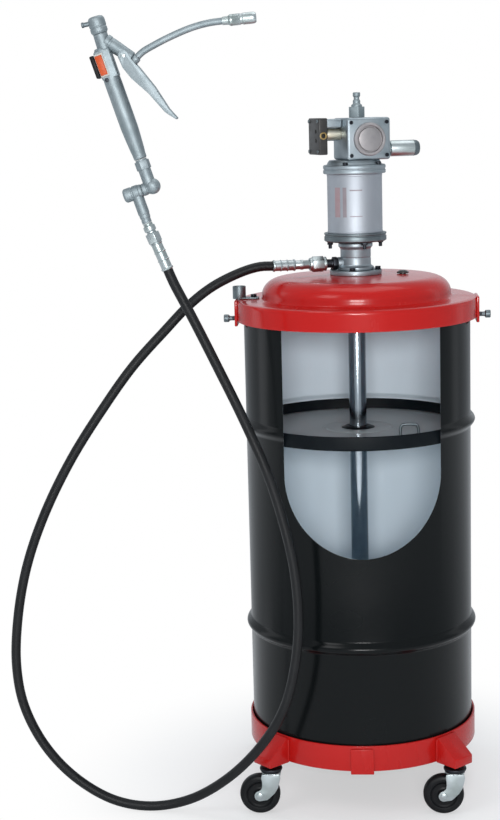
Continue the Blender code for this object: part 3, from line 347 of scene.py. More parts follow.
wheel_rubber = moulded("wheel_rubber", (0.0035, 0.004, 0.005), (0.010, 0.011, 0.012), 0.42, 0.22)
seal_rubber = moulded("seal_rubber", (0.003, 0.005, 0.007), (0.006, 0.009, 0.011), 0.42, 0.12)
black_plastic = moulded("black_plastic", (0.030, 0.029, 0.028), (0.050, 0.048, 0.045), 0.36)
orange_plastic = moulded("orange_pad", (0.52, 0.075, 0.016), (0.44, 0.065, 0.018), 0.40, 0.25)
pad_grey = moulded("pad_grey", (0.46, 0.45, 0.42), (0.40, 0.39, 0.37), 0.45)
slide_black = moulded("slide_black", (0.004, 0.004, 0.005), (0.009, 0.009, 0.010), 0.42, 0.2)
print("rubbers and plastics are moulded skins with dust")

# %% [markdown]
# ## Making a shape
#
# Most of this object is turned or pressed round an axis. The section of such a part is drawn as a
# wire of a few points, its corners are eased with a vertex bevel, and `spin` sweeps it round.
# Plates are outlines that are extruded and bevelled along their edges. A bevel of a few tenths of
# a millimetre is what catches the light and tells an eye that the part is real.

# %% Places
upright = Matrix.Rotation(pi / 2, 4, "X")


def at(x, y, z):
    """A frame that is moved and not turned."""
    return Matrix.Translation((x, y, z))


def along(start, direction):
    """A frame whose Z axis runs from start in this direction."""
    turned_there = Vector(direction).to_track_quat("Z", "Y").to_matrix().to_4x4()
    return Matrix.Translation(start) @ turned_there


print("places are 4 x 4 matrices")

# %% Turned shapes


def turned(section, steps=96, ease=0.0, rounds=3, ring=False, place=Matrix()):
    """A bmesh turned round Z from a section of (radius, height) points."""
    bm = bmesh.new()
    points = [bm.verts.new((radius, 0, height)) for radius, height in section]
    pairs = list(zip(points, points[1:])) + ([(points[-1], points[0])] if ring else [])
    for pair in pairs:
        bm.edges.new(pair)
    if ease:
        corners = [point for point in points if point.co.x > 1e-6 and len(point.link_edges) == 2]
        bmesh.ops.bevel(bm, geom=corners, offset=ease, offset_type="OFFSET", segments=rounds,
                        profile=0.5, affect="VERTICES", material=-1, clamp_overlap=True)
    bmesh.ops.spin(bm, geom=bm.verts[:] + bm.edges[:], axis=(0, 0, 1), cent=(0, 0, 0),
                   angle=2 * pi, steps=steps, use_merge=True)
    bmesh.ops.remove_doubles(bm, verts=bm.verts, dist=1e-6)
    bmesh.ops.dissolve_degenerate(bm, dist=1e-7, edges=bm.edges)
    bmesh.ops.delete(bm, geom=[edge for edge in bm.edges if not edge.link_faces], context="EDGES")
    bmesh.ops.recalc_face_normals(bm, faces=bm.faces)
    bmesh.ops.transform(bm, matrix=place, verts=bm.verts)
    return bm


def rod(radius, length, steps=48, ease=0.0003, rounds=2, place=Matrix(), foot=0):
    """A plain round bar from its foot up."""
    bar_section = [(0, foot), (radius, foot), (radius, foot + length), (0, foot + length)]
    return turned(bar_section, steps, ease, rounds, place=place)


def ring_of(inner, outer, low, high, steps, ease, rounds=2, place=Matrix()):
    """A plain ring with a square section."""
    ring_section = [(inner, low), (outer, low), (outer, high), (inner, high)]
    return turned(ring_section, steps, ease, rounds, ring=True, place=place)


print("turned shapes:", turned.__name__, rod.__name__, ring_of.__name__)

# %% Flat and square shapes


def eased(bm, width, segments=2, over=30):
    """Bevels the edges that turn by more than this angle, in degrees."""
    edges = [
        edge for edge in bm.edges if edge.is_manifold and edge.calc_face_angle(0) > radians(over)
    ]
    bmesh.ops.bevel(bm, geom=edges, offset=width, offset_type="OFFSET", segments=segments,
                    profile=0.5, affect="EDGES", material=-1, clamp_overlap=True)
    return bm


def prism(outline, thickness, ease=0.0, place=Matrix()):
    """A flat outline in XY, half its thickness to each side."""
    bm = bmesh.new()
    face = bm.faces.new([bm.verts.new((x, y, -thickness / 2)) for x, y in outline])
    grown = bmesh.ops.extrude_face_region(bm, geom=[face])["geom"]
    bmesh.ops.translate(bm, vec=(0, 0, thickness),
                        verts=[part for part in grown if isinstance(part, bmesh.types.BMVert)])
    bmesh.ops.recalc_face_normals(bm, faces=bm.faces)
    if ease:
        eased(bm, ease)
    bmesh.ops.transform(bm, matrix=place, verts=bm.verts)
    return bm


def block(low, high, ease, place=Matrix(), segments=2):
    """A box between two corners with eased edges."""
    low, high = Vector(low), Vector(high)
    bm = bmesh.new()
    bmesh.ops.create_cube(bm, size=1)
    bmesh.ops.scale(bm, vec=high - low, verts=bm.verts)
    bmesh.ops.translate(bm, vec=(low + high) / 2, verts=bm.verts)
    eased(bm, ease, segments)
    bmesh.ops.transform(bm, matrix=place, verts=bm.verts)
    return bm


def round_bar(radius, count, length, ease=0.0, place=Matrix()):
    """A bar with this many flats, its middle at the place's origin."""
    corners = [2 * pi * i / count for i in range(count)]
    return prism([(radius * cos(t), radius * sin(t)) for t in corners], length, ease, place)


print("flat shapes:", eased.__name__, prism.__name__, block.__name__, round_bar.__name__)

# %% Joined and cut shapes


def together(*shapes):
    """One bmesh that holds all of these."""
    whole = bmesh.new()
    for bm in shapes:
        mesh = bpy.data.meshes.new("part")
        bm.to_mesh(mesh)
        bm.free()
        whole.from_mesh(mesh)
        bpy.data.meshes.remove(mesh)
    return whole


def carved(bm, *cutters, joined=()):
    """The bmesh after Boolean modifiers have cut the cutters from it and added what is joined."""
    def shown(shape):
        """An object for the modifiers to work on."""
        mesh = bpy.data.meshes.new("tool")
        shape.to_mesh(mesh)
        shape.free()
        obj = bpy.data.objects.new("tool", mesh)
        scene.collection.objects.link(obj)
        return obj

    base = shown(bm)
    tools = [(shown(shape), "UNION") for shape in joined]
    tools += [(shown(shape), "DIFFERENCE") for shape in cutters]
    for tool, operation in tools:
        modifier = base.modifiers.new("carve", "BOOLEAN")
        modifier.object, modifier.operation, modifier.solver = tool, operation, "EXACT"
    graph = bpy.context.evaluated_depsgraph_get()
    made = bmesh.new()
    made.from_object(base, graph)
    for obj in [base] + [tool for tool, _ in tools]:
        mesh = obj.data
        bpy.data.objects.remove(obj)
        bpy.data.meshes.remove(mesh)
    bmesh.ops.remove_doubles(made, verts=made.verts, dist=1e-6)
    return made


def nut(radius, height, place=Matrix(), bore=0.0, turn=0.0):
    """A hexagonal nut or bolt head with its edges eased."""
    bm = bmesh.new()
    bmesh.ops.create_cone(
        bm, cap_ends=True, segments=6, radius1=radius, radius2=radius, depth=height
    )
    bmesh.ops.translate(bm, vec=(0, 0, height / 2), verts=bm.verts)
    eased(bm, 0.06 * radius)
    if bore:
        top = max(bm.faces, key=lambda face: face.calc_center_median().z)
        bmesh.ops.inset_individual(bm, faces=[top], thickness=radius * 0.86 - bore)
        bmesh.ops.translate(bm, vec=(0, 0, -0.3 * height), verts=top.verts)
    bmesh.ops.rotate(bm, cent=(0, 0, 0), matrix=Matrix.Rotation(turn, 3, "Z"), verts=bm.verts)
    bmesh.ops.transform(bm, matrix=place, verts=bm.verts)
    return bm


def socket_screw(radius, height, place=Matrix()):
    """A cap screw's head with its hexagonal socket."""
    head_shape = rod(radius, height, 24, 0.12 * radius, place=place)
    socket = bmesh.new()
    bmesh.ops.create_cone(socket, cap_ends=True, segments=6, radius1=0.5 * radius,
                          radius2=0.5 * radius, depth=0.9 * height)
    bmesh.ops.transform(socket, matrix=place @ at(0, 0, height), verts=socket.verts)
    return carved(head_shape, socket)


print("cut shapes:", together.__name__, carved.__name__, nut.__name__, socket_screw.__name__)

# %% A visible piece
counts = {}


def piece(name, bm, finish, body, stands_for=None, sharp=32):
    """The finished bmesh as a visible piece that rides on a body."""
    mesh = bpy.data.meshes.new(name)
    bm.to_mesh(mesh)
    bm.free()
    mesh.materials.append(finish)
    mesh.shade_smooth()
    mesh.set_sharp_from_angle(angle=radians(sharp))
    obj = bpy.data.objects.new(name, mesh)
    scene.collection.objects.link(obj)
    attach(obj, body)
    if stands_for:
        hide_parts(stands_for)
    counts[name] = sum(len(face.vertices) - 2 for face in mesh.polygons)
    return obj


print("a piece rides on a body and may stand for a solid")

# %% [markdown]
# ## The hose
#
# The hose is seen from end to end: it leaves the pump to the left, swings down to the floor in one
# wide loop and comes up in front of the drum to the gun, a little over two metres of 15 mm rubber
# hose. A curve with a round bevel would make the tube, but its cover has a wrapped-cloth print
# that runs along it, so the tube is extruded ring by ring, and each ring writes how far along the
# hose it is into the UV map.

# %% The hose's route
hose_radius = 0.0075
leave = Vector((-cos(radians(16)), -sin(radians(16)), 0))
outlet = Vector((0, 0, 0.8595))
hose_start = outlet + leave * 0.1351
gun_origin = Vector((-0.308, -0.200, 0.990))
gun_frame = Matrix.Translation(gun_origin) @ Matrix.Rotation(-radians(18), 4, "Y")
hose_end_along = Vector((sin(radians(22)), 0, -cos(radians(22))))
fitting_start = gun_frame @ Vector((-0.0108, 0, -0.0475)) + hose_end_along * 0.0003
hose_stop = fitting_start + hose_end_along * 0.0743
route = [
    hose_start,
    hose_start + leave * 0.020,
    (-0.176, -0.051, 0.853),
    (-0.221, -0.068, 0.833),
    (-0.258, -0.083, 0.806),
    (-0.296, -0.098, 0.768),
    (-0.345, -0.114, 0.716),
    (-0.393, -0.126, 0.652),
    (-0.444, -0.136, 0.575),
    (-0.489, -0.142, 0.489),
    (-0.520, -0.145, 0.407),
    (-0.538, -0.147, 0.324),
    (-0.544, -0.148, 0.245),
    (-0.535, -0.148, 0.179),
    (-0.505, -0.147, 0.112),
    (-0.459, -0.144, 0.057),
    (-0.399, -0.142, 0.0185),
    (-0.340, -0.143, 0.0082),
    (-0.276, -0.150, 0.0225),
    (-0.210, -0.170, 0.068),
    (-0.152, -0.190, 0.134),
    (-0.119, -0.199, 0.193),
    (-0.101, -0.200, 0.260),
    (-0.094, -0.200, 0.335),
    (-0.099, -0.200, 0.414),
    (-0.113, -0.200, 0.484),
    (-0.135, -0.200, 0.560),
    (-0.169, -0.200, 0.644),
    (-0.207, -0.200, 0.727),
    (-0.241, -0.200, 0.799),
    hose_stop + hose_end_along * 0.020,
    hose_stop,
]


def smooth_line(points, step):
    """Points about a step apart on a smooth curve through these points."""
    points = [Vector(point) for point in points]
    ends = [2 * points[0] - points[1], *points, 2 * points[-1] - points[-2]]
    line = []
    for before, start, end, after in zip(ends, ends[1:], ends[2:], ends[3:]):
        t1, t2, t3 = (
            max((b - a).length, 1e-6) ** 0.5
            for a, b in ((before, start), (start, end), (end, after))
        )
        go = ((start - before) / t1 - (end - before) / (t1 + t2) + (end - start) / t2) * t2
        come = ((end - start) / t2 - (after - start) / (t2 + t3) + (after - end) / t3) * t2
        count = max(1, round((end - start).length / step))
        for i in range(count):
            t = i / count
            line.append((2 * t**3 - 3 * t**2 + 1) * start + (t**3 - 2 * t**2 + t) * go
                        + (3 * t**2 - 2 * t**3) * end + (t**3 - t**2) * come)
    return [*line, points[-1]]


hose_line = smooth_line(route, 0.008)
hose_run = sum((b - a).length for a, b in zip(hose_line, hose_line[1:]))
print("hose:", len(hose_line), "points,", round(hose_run, 3), "m")

# %% A tube that knows how far along it is


def tube(line, radius, sides):
    """Rings extruded along a line. The UV map holds metres along and turns round."""
    bm = bmesh.new()
    distance = bm.verts.layers.float.new("distance")
    rings, run = [], 0.0
    frame_turn = None
    for i, point in enumerate(line):
        ahead_of = (line[min(i + 1, len(line) - 1)] - line[max(i - 1, 0)]).normalized()
        if frame_turn is None:
            frame_turn = ahead_of.to_track_quat("Z", "Y")
            ring = list(bmesh.ops.create_circle(bm, segments=sides, radius=radius)["verts"])
        else:
            frame_turn = last.rotation_difference(ahead_of) @ frame_turn
            loop = [bm.edges.get((ring[k], ring[(k + 1) % sides])) for k in range(sides)]
            made = bmesh.ops.extrude_edge_only(bm, edges=loop)["geom"]
            fresh = {part for part in made if isinstance(part, bmesh.types.BMVert)}
            ring = [next(edge.other_vert(vert) for edge in vert.link_edges
                         if edge.other_vert(vert) in fresh) for vert in ring]
            run += (point - line[i - 1]).length
        last = ahead_of
        for k, vert in enumerate(ring):
            angle = 2 * pi * k / sides
            around = Vector((radius * cos(angle), radius * sin(angle), 0))
            vert.co = point + frame_turn @ around
            vert[distance] = run
        rings.append(ring)
    number = {vert: k for ring in rings for k, vert in enumerate(ring)}
    uv = bm.loops.layers.uv.new("UVMap")
    for face in bm.faces:
        seam = {number[vert] for vert in face.verts} == {0, sides - 1}
        for loop in face.loops:
            k = number[loop.vert]
            loop[uv].uv = (loop.vert[distance], (sides if seam and k == 0 else k) / sides)
    bm.faces.new(rings[0])
    bm.faces.new(rings[-1])
    bmesh.ops.recalc_face_normals(bm, faces=bm.faces)
    return bm


wrapped = Finish("wrapped_hose_rubber", Specular_IOR_Level=0.3)
where = wrapped.node("ShaderNodeUVMap", {"uv_map": "UVMap"})


def stretched_by(*scale):
    """The hose's UV map with its run along and its turn round stretched."""
    return wrapped.node("ShaderNodeMapping", None, {"Vector": where, "Scale": scale})


woven = wrapped.node(
    "ShaderNodeTexWave", {"bands_direction": "DIAGONAL"},
    {"Vector": stretched_by(900, 16, 1), "Scale": 0.35, "Distortion": 1.5}, 1,
)
turn_round = wrapped.node("ShaderNodeSeparateXYZ", None, {0: where}, 1)
# A light grey line, broken into dashes, runs along the hose at one place round it: partly a printed
# layline, partly a painted highlight.
dash_breaks = wrapped.node(
    "ShaderNodeTexNoise", None, {"Vector": stretched_by(95, 3, 1), "Scale": 1.0, "Detail": 2},
)
layline_and_painted_highlight = (turn_round > 0.72) * (turn_round < 0.76) * wrapped.steps(dash_breaks, 0.53, 0.60)
bloom = wrapped.steps(wrapped.noise(30, 5), 0.45, 0.80)
black_cover = wrapped.mix(bloom * 0.6, (0.0045, 0.0050, 0.0058), (0.012, 0.013, 0.015))
wrapped.set("Base Color", wrapped.mix(layline_and_painted_highlight * 0.7, black_cover, (0.22, 0.22, 0.23)))
wrapped.set("Roughness", 0.40 + bloom * 0.2 + woven * 0.06)
wrapped.bump(woven, 0.00012)
hose = piece("delivery_hose", tube(hose_line, hose_radius, 24), wrapped.material, "pump_unit",
             "hose")
print("hose tube:", counts["delivery_hose"], "triangles")

# %% [markdown]
# ## Fittings at the hose's two ends
#
# A steel nut screws the hose to the pump's outlet, and behind it a ferrule is crimped over the
# rubber in even bites. At the gun's end a second ferrule carries a hexagon. The crimp is the
# detail that tells a hose end from a plain ring, so the ferrule's section dips at each bite. The
# bites could be cut in one by one, but as they go all the way round, the section is turned with
# its dips in it.

# %% Ferrules and nuts


def crimped(length, radius, start, bites, place):
    """A crimped ferrule from start to length, with a lip at each end."""
    section = [
        (hose_radius + 0.0001, length), (radius - 0.0010, length),
        (radius - 0.0002, length - 0.0010)
    ]
    room = length - start - 0.0050
    for i in range(bites):
        top = length - 0.0025 - room * i / bites
        low = top - room / bites
        section += [(radius, top), (radius - 0.0011, top - 0.0010),
                    (radius - 0.0011, low + 0.0012), (radius, low + 0.0002)]
    section += [(radius - 0.0004, start + 0.0008), (radius - 0.0018, start), (0.0060, start)]
    return turned(section, 40, ring=True, place=place)


at_nut = along(outlet + leave * 0.0490, leave)
at_ferrule = along(outlet + leave * 0.0757, leave)
at_gun_fitting = along(fitting_start, hose_end_along)
hose_nut = piece(
    "hose_swivel_nut",
    together(
        nut(0.0125, 0.0180, at_nut @ at(0, 0, 0.0042), 0.0072),
        turned([
            (0.0068, 0.0264), (0.0098, 0.0264), (0.0104, 0.0240), (0.0104, 0.0030),
            (0.0112, 0.0022), (0.0112, 0), (0.0071, 0)
        ], 40, 0.0003, 2, ring=True, place=at_nut)
    ),
    zinc, "pump_unit", "hose_nut"
)
pump_ferrule = piece(
    "hose_ferrule_at_pump",
    together(
        crimped(0.0591, 0.0093, 0.0227, 3, at_ferrule),
        turned([
            (0.0055, 0.0235), (0.0070, 0.0232), (0.0070, 0.0150), (0.0078, 0.0142),
            (0.0078, 0.0105), (0.0070, 0.0097), (0.0070, 0), (0.0055, 0)
        ], 40, 0.0002, 2, ring=True, place=at_ferrule)
    ),
    zinc, "pump_unit", "hose_ferrule_pump"
)
gun_ferrule = piece(
    "hose_ferrule_at_gun",
    together(
        crimped(0.0740, 0.0093, 0.0300, 3, at_gun_fitting),
        nut(0.0110, 0.0145, at_gun_fitting @ at(0, 0, 0.0158), turn=0.2),
        turned([
            (0.0055, 0.0310), (0.0085, 0.0305), (0.0092, 0.0160), (0.0070, 0.0150),
            (0.0070, 0.0125), (0.0089, 0.0118), (0.0089, 0.0045), (0.0070, 0.0038), (0.0070, 0),
            (0.0055, 0)
        ], 40, 0.0003, 2, ring=True, place=at_gun_fitting)
    ),
    zinc, "pump_unit", "hose_ferrule_gun"
)
print(
    "hose ends:",
    [counts[name] for name in ("hose_swivel_nut", "hose_ferrule_at_pump", "hose_ferrule_at_gun")]
)

# %% [markdown]
# ## The swivel under the gun
#
# Two elbows join the hose to the gun so that it can turn without twisting the hose. The lower one
# is a short barrel with a leg to the hose, and the upper one has a ball-like bend and a hexagon
# below the handle. They are turned parts set along slanting axes, so each gets a frame that says
# where its own Z axis starts and runs.

# %% The two elbows


def in_gun(across, up, front=0.0):
    """A point of the gun's plane, front measured towards us."""
    return gun_frame @ Vector((across, -front, up))


def between(start, end):
    """A frame whose Z axis runs from start towards end."""
    return along(start, end - start)


gun_up = in_gun(0, 1) - in_gun(0, 0)
gun_across = in_gun(1, 0) - in_gun(0, 0)
lower_elbow = piece(
    "swivel_lower_elbow",
    together(
        turned([
            (0, 0), (0.0078, 0), (0.0092, 0.0010), (0.0104, 0.0028), (0.0104, 0.0120),
            (0.0096, 0.0128), (0.0096, 0.0145), (0.0105, 0.0152), (0.0105, 0.0230),
            (0.0096, 0.0238), (0.0096, 0.0268), (0.0088, 0.0287), (0, 0.0287)
        ], 48, 0.0003, 2, place=along(in_gun(-0.0300, 0), gun_across)),
        turned([
            (0, 0), (0.0085, 0), (0.0085, 0.0330), (0.0078, 0.0342), (0.0078, 0.0390),
            (0.0070, 0.0405), (0.0070, 0.0440), (0, 0.0440)
        ], 48, 0.0004, 2, place=along(in_gun(-0.0108, 0), -gun_up)),
        rod(
            0.0072, 0.0058, 40,
            place=along(in_gun(-0.0108, -0.0475) - hose_end_along * 0.0059, hose_end_along)
        )
    ),
    nickel, "swivel", "swivel_lower"
)
ball = bmesh.new()
bmesh.ops.create_uvsphere(ball, u_segments=40, v_segments=24, radius=0.0117)
bmesh.ops.transform(ball, matrix=Matrix.Translation(in_gun(0.0150, 0.0005)), verts=ball.verts)
piece(
    "swivel_upper_elbow",
    together(
        turned([
            (0, 0), (0.0084, 0), (0.0092, 0.0008), (0.0092, 0.0060), (0.0084, 0.0068),
            (0.0084, 0.0085), (0.0092, 0.0092), (0.0092, 0.0160), (0, 0.0160)
        ], 48, 0.0003, 2, place=along(in_gun(-0.0010, 0), gun_across)),
        ball, rod(0.0092, 0.0280, ease=0.0004, place=along(in_gun(0.0120, 0), gun_up)),
        nut(0.0112, 0.0130, along(in_gun(0.0120, 0.0275), gun_up), turn=0.3),
        rod(0.0086, 0.0155, place=along(in_gun(0.0120, 0.0273), gun_up))
    ),
    nickel, "gun", "swivel_upper"
)
print("swivel:", counts["swivel_lower_elbow"] + counts["swivel_upper_elbow"], "triangles")

# %% [markdown]
# ## The drum
#
# A steel drum is a thin rolled sheet with two swaged hoops and a curled rim. Here a window with a
# rounded foot has been cut through its front, so that one can see the follower plate and the pump
# tube. The wall is turned as one closed section, outside down and inside up, then a Boolean cuts
# the window. The inside and the outside have different finishes, so faces that look towards the
# axis get the second material.

# %% The drum's wall
drum_low, drum_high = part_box("drum_shell")
drum_radius, wall, rise, half_hoop = 0.1795, 0.0015, 0.007, 0.012
drum_foot, drum_top = drum_low.z, drum_high.z
hoops = (0.279, 0.609)


def hoop(centre, inset, down=True):
    """A swaged hoop: a soft round wave in the wall."""
    found = []
    for i in range(17):
        share = i / 16
        wave = rise * (0.5 - 0.5 * cos(2 * pi * share)) ** 0.8
        found.append((drum_radius - inset + wave, centre + half_hoop * (1 - 2 * share)))
    return found if down else found[::-1]


section = [(drum_radius - 0.002, drum_top), (drum_radius - 0.0006, drum_top - 0.0006),
           (drum_radius, drum_top - 0.002)]
for centre in hoops[::-1]:
    section += hoop(centre, 0)
section += [(drum_radius, drum_foot), (drum_radius - wall, drum_foot)]
for centre in hoops:
    section += hoop(centre, wall, False)
curl = drum_radius - 0.007
section += [
    (drum_radius - wall, drum_top - 0.0075), (curl + 0.0015, drum_top - 0.0070),
    (curl, drum_top - 0.0052), (curl, drum_top - 0.0018), (curl + 0.0012, drum_top)
]
window_centre, window_half, window_top = 0.0065, 0.120, 0.785
arch_height, arch_drop, arch_steps = 0.545, 0.123, 64
outline = [(window_centre - window_half, window_top)]
for i in range(arch_steps + 1):
    turn = pi * i / arch_steps
    outline.append((window_centre - window_half * cos(turn), arch_height - arch_drop * sin(turn)))
outline.append((window_centre + window_half, window_top))
window = prism(outline, 0.2, place=at(0, -drum_radius, 0) @ upright)
wall_mesh = carved(turned(section, 192, ring=True), window)
drum = piece(
    "drum_wall", wall_mesh, drum_black, "drum_and_dolly", "drum_shell", 40
)
drum.data.materials.append(drum_lining)
inside = 0
for face in drum.data.polygons:
    from_axis = Vector((face.center.x, face.center.y, 0))
    looks_in = face.normal.dot(from_axis) < -0.3 * from_axis.length
    if looks_in and from_axis.length < drum_radius + rise:
        face.material_index = 1
        inside += 1
print("drum wall:", counts["drum_wall"], "triangles,", inside, "faces of lining")

# %% The drum's floor
low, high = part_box("drum_bottom")
floor_sheet = turned([
    (0, high.z), (high.x - 0.020, high.z), (high.x - 0.003, high.z - 0.0004),
    (high.x, high.z - 0.002), (high.x, low.z), (high.x - wall, low.z),
    (high.x - wall, high.z - 0.0030), (high.x - 0.0035, high.z - wall), (0, high.z - wall)
], 128, 0.0004, 2)
drum_floor = piece(
    "drum_floor", floor_sheet, drum_lining, "drum_and_dolly", "drum_bottom"
)
drum_floor.data.materials.append(drum_black)
for face in drum_floor.data.polygons:
    face.material_index = int(face.normal.z < 0.1)
print("drum floor:", counts["drum_floor"], "triangles")

# %% [markdown]
# ## The dolly band and its casters
#
# The drum stands in a red steel band with a lip turned in under its chime. A splice plate joins
# the band at the front, and four welded lugs reach out over the casters. Each lug is a bent plate:
# its side view is an outline, extruded to the lug's width, with its edges rounded.

# %% Band, lugs and splice
band_foot, band_outer = 0.0835, 0.1845
band = turned([
    (band_outer, 0.1245), (band_outer, band_foot), (0.155, band_foot), (0.155, 0.0865),
    (0.1813, 0.0865), (0.1813, 0.1245)
], 160, 0.0008, 3, ring=True)
lugs, welds = [], []
for i in range(4):
    turn = Matrix.Rotation(pi / 4 + i * pi / 2, 4, "Z")
    side_view = [
        (0.1830, 0.1238), (0.1882, 0.1238), (0.2020, 0.1130), (0.2240, 0.0962), (0.2240, 0.0821),
        (0.1830, 0.0821)
    ]
    lugs.append(prism(side_view, 0.0398, 0.0018, turn @ upright))
    for across in (-0.0199, 0.0199):
        welds.append(round_bar(0.0016, 10, 0.036, 0.0004, turn @ at(0.1850, across, 0.1030)))
piece(
    "dolly_band_ring", together(band, *lugs, *welds), red_enamel, "drum_and_dolly", "dolly_band",
)
low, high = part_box("dolly_splice")
plate = block(low, high, 0.0012, segments=3)
rivets = [
    turned([(0, 0.0012), (0.0026, 0.0008), (0.0034, 0), (0, 0)], 24,
           place=along((x, low.y + 0.0012, z), (0, -1, 0)))
    for x in (-0.0110, 0.0110) for z in (0.0880, 0.1120)
]
piece(
    "dolly_splice_plate", together(plate, *rivets), red_enamel, "drum_and_dolly", "dolly_splice",
)
print("band:", counts["dolly_band_ring"], "triangles, splice:", counts["dolly_splice_plate"])

# %% [markdown]
# A caster has three moving stages. The kingpin and its ball race stay on the lug, the fork swivels
# under it, and the wheel rolls in the fork. The fork is pressed from sheet: two curved legs that
# trail behind the kingpin, with a riveted axle. The wheel has a hub, a dished web and a soft tread
# with rounded shoulders.

# %% One caster
fork_top, hub, trail = 0.0687, 0.032, -0.018
caster_circle = 0.205


def caster(number, x, y):
    """The three stages of the caster under one lug, its kingpin at x and y."""
    stem_place = at(x, y, 0)
    race = turned([
        (0, 0.0817), (0.0065, 0.0817), (0.0065, 0.0768), (0.0150, 0.0766), (0.0176, 0.0755),
        (0.0180, 0.0735), (0.0172, 0.0715), (0.0158, 0.0692), (0.0040, 0.0690), (0.0040, 0.0660),
        (0.0060, 0.0659), (0.0056, 0.0640), (0.0040, 0.0632), (0, 0.0632)
    ], 64, 0.0003, 2, place=stem_place)
    piece(
        f"caster_race_{number}", race, black_oxide, "drum_and_dolly", f"caster_stem_{number}",
    )
    leg = [(0.0140, 0.0681), (0.0150, 0.0620), (0.0138, 0.0560), (0.0112, 0.0460), (0.0060, 0.0370),
           (-0.0020, 0.0290), (-0.0060, 0.0256)]
    for i in range(11):
        turn = radians(290 - 19 * i)
        leg.append((trail + 0.0085 * cos(turn), hub + 0.0085 * sin(turn)))
    leg += [
        (-0.0150, 0.0440), (-0.0140, 0.0500), (-0.0142, 0.0560), (-0.0155, 0.0620),
        (-0.0140, 0.0681)
    ]
    parts = [ring_of(0.0044, 0.0155, fork_top - 0.0025, fork_top, 48, 0.0006, place=stem_place)]
    for sign in (-1, 1):
        lean = stem_place @ at(0, sign * 0.01375, 0) @ upright
        parts.append(prism(leg, 0.0025, 0.0007, lean))
    half = 0.0170
    axle_place = along((x + trail, y - half, hub), (0, 1, 0))
    parts.append(
        turned([
            (0, 2 * half), (0.0030, 2 * half), (0.0052, 2 * half - 0.0010),
            (0.0055, 2 * half - 0.0021), (0.0035, 2 * half - 0.0022), (0.0035, 0.0022),
            (0.0055, 0.0021), (0.0052, 0.0010), (0.0030, 0), (0, 0)
        ], 32, place=axle_place)
    )
    piece(f"caster_fork_plate_{number}", together(*parts), zinc, f"caster_{number}",
          f"caster_fork_{number}")
    wheel_place = along((x + trail, y - 0.0110, hub), (0, 1, 0))
    width, rim = 0.0220, 0.0320
    section = [
        (0.0041, 0), (0.0085, 0), (0.0095, 0.0030), (0.0120, 0.0040), (0.0180, 0.0046),
        (0.0205, 0.0030), (0.0215, 0.0012), (0.0262, 0.0010), (0.0272, 0.0016), (0.0296, 0.0024),
        (0.0312, 0.0046), (rim, 0.0080)
    ]
    section += [(radius, width - z) for radius, z in section[::-1]]
    piece(f"caster_tread_{number}", turned(section, 72, 0.0003, 2, ring=True, place=wheel_place),
          wheel_rubber, f"wheel_{number}", f"caster_wheel_{number}")


for i in range(4):
    turn = pi / 4 + i * pi / 2
    caster(i + 1, caster_circle * cos(turn), caster_circle * sin(turn))
print("casters:", [counts[f"caster_tread_{i}"] for i in range(1, 5)])

# %% [markdown]
# ## The cover
#
# The cover is pressed from sheet: a low dome with a full round shoulder, a flat rim, and a skirt
# that hangs down outside the drum. On each side a tab carries a thumb screw. Its section is drawn
# with a quarter ellipse for the shoulder, and a shallow groove where the dome meets the rim.

# %% The cover's pressing
cover_radius, sheet = 0.190, 0.0025
rim_top, dome_top, dome_radius, crown_radius = 0.805, 0.841, 0.1495, 0.118
skirt_foot, clamp_height, plug_x, rest_bolt_x = 0.7722, 0.774, 0.074, -0.163


def dome(thickness):
    """The dome's section from the pump's hole out to the rim, this far under its outer face."""
    found = [(0.0145, dome_top - thickness), (0.0440, dome_top - thickness),
             (0.0700, dome_top - 0.0009 - thickness), (0.0950, dome_top - 0.0019 - thickness)]
    for i in range(17):
        turn = pi / 2 * i / 16
        found.append((
            crown_radius + (dome_radius - crown_radius - thickness) * sin(turn),
            dome_top - 0.003 - thickness - (0.026 - thickness) * (1 - cos(turn)),
        ))
    return found


outside = dome(0) + [
    (dome_radius + 0.0002, rim_top + 0.0034), (dome_radius + 0.0012, rim_top + 0.0012),
    (dome_radius + 0.0040, rim_top), (0.1600, rim_top - 0.0003), (0.1800, rim_top - 0.0004),
    (0.1862, rim_top - 0.0006), (0.1888, rim_top - 0.0016), (cover_radius, rim_top - 0.0040),
    (cover_radius, rim_top - 0.0070), (cover_radius, 0.7750), (cover_radius, 0.7735),
    (0.1896, skirt_foot)
]
inner = dome(sheet) + [
    (dome_radius + 0.0025, rim_top - sheet), (0.1875, rim_top - sheet), (0.1875, skirt_foot)
]
tabs = [block((x - 0.00225, -0.028, 0.7640), (x + 0.00225, 0.028, 0.8044), 0.0012, segments=3)
        for x in (-0.19025, 0.19025)]
holes = [round_bar(0.0055, 32, 0.04, place=at(plug_x, 0, 0.84)),
         round_bar(0.0034, 32, 0.03, place=at(rest_bolt_x, 0, 0.805))]
holes += [round_bar(0.0044, 32, 0.03, place=along((s * cover_radius, 0, clamp_height), (s, 0, 0)))
          for s in (-1, 1)]
cover = carved(turned(outside + inner[::-1], 192, ring=True), *holes, joined=tabs)
piece("pressed_cover", cover, red_enamel, "pump_unit", "drum_cover", 38)
piece("cover_gasket_ring", ring_of(0.1726, 0.1790, 0.7973, 0.8021, 160, 0.0008),
      seal_rubber, "pump_unit", "cover_gasket")
print("cover:", counts["pressed_cover"], "triangles")

# %% [markdown]
# Small things on the cover: a thumb screw through each tab, a black plug in the filling hole, and
# the cup in which the gun's tip is parked, held by a dark bolt.

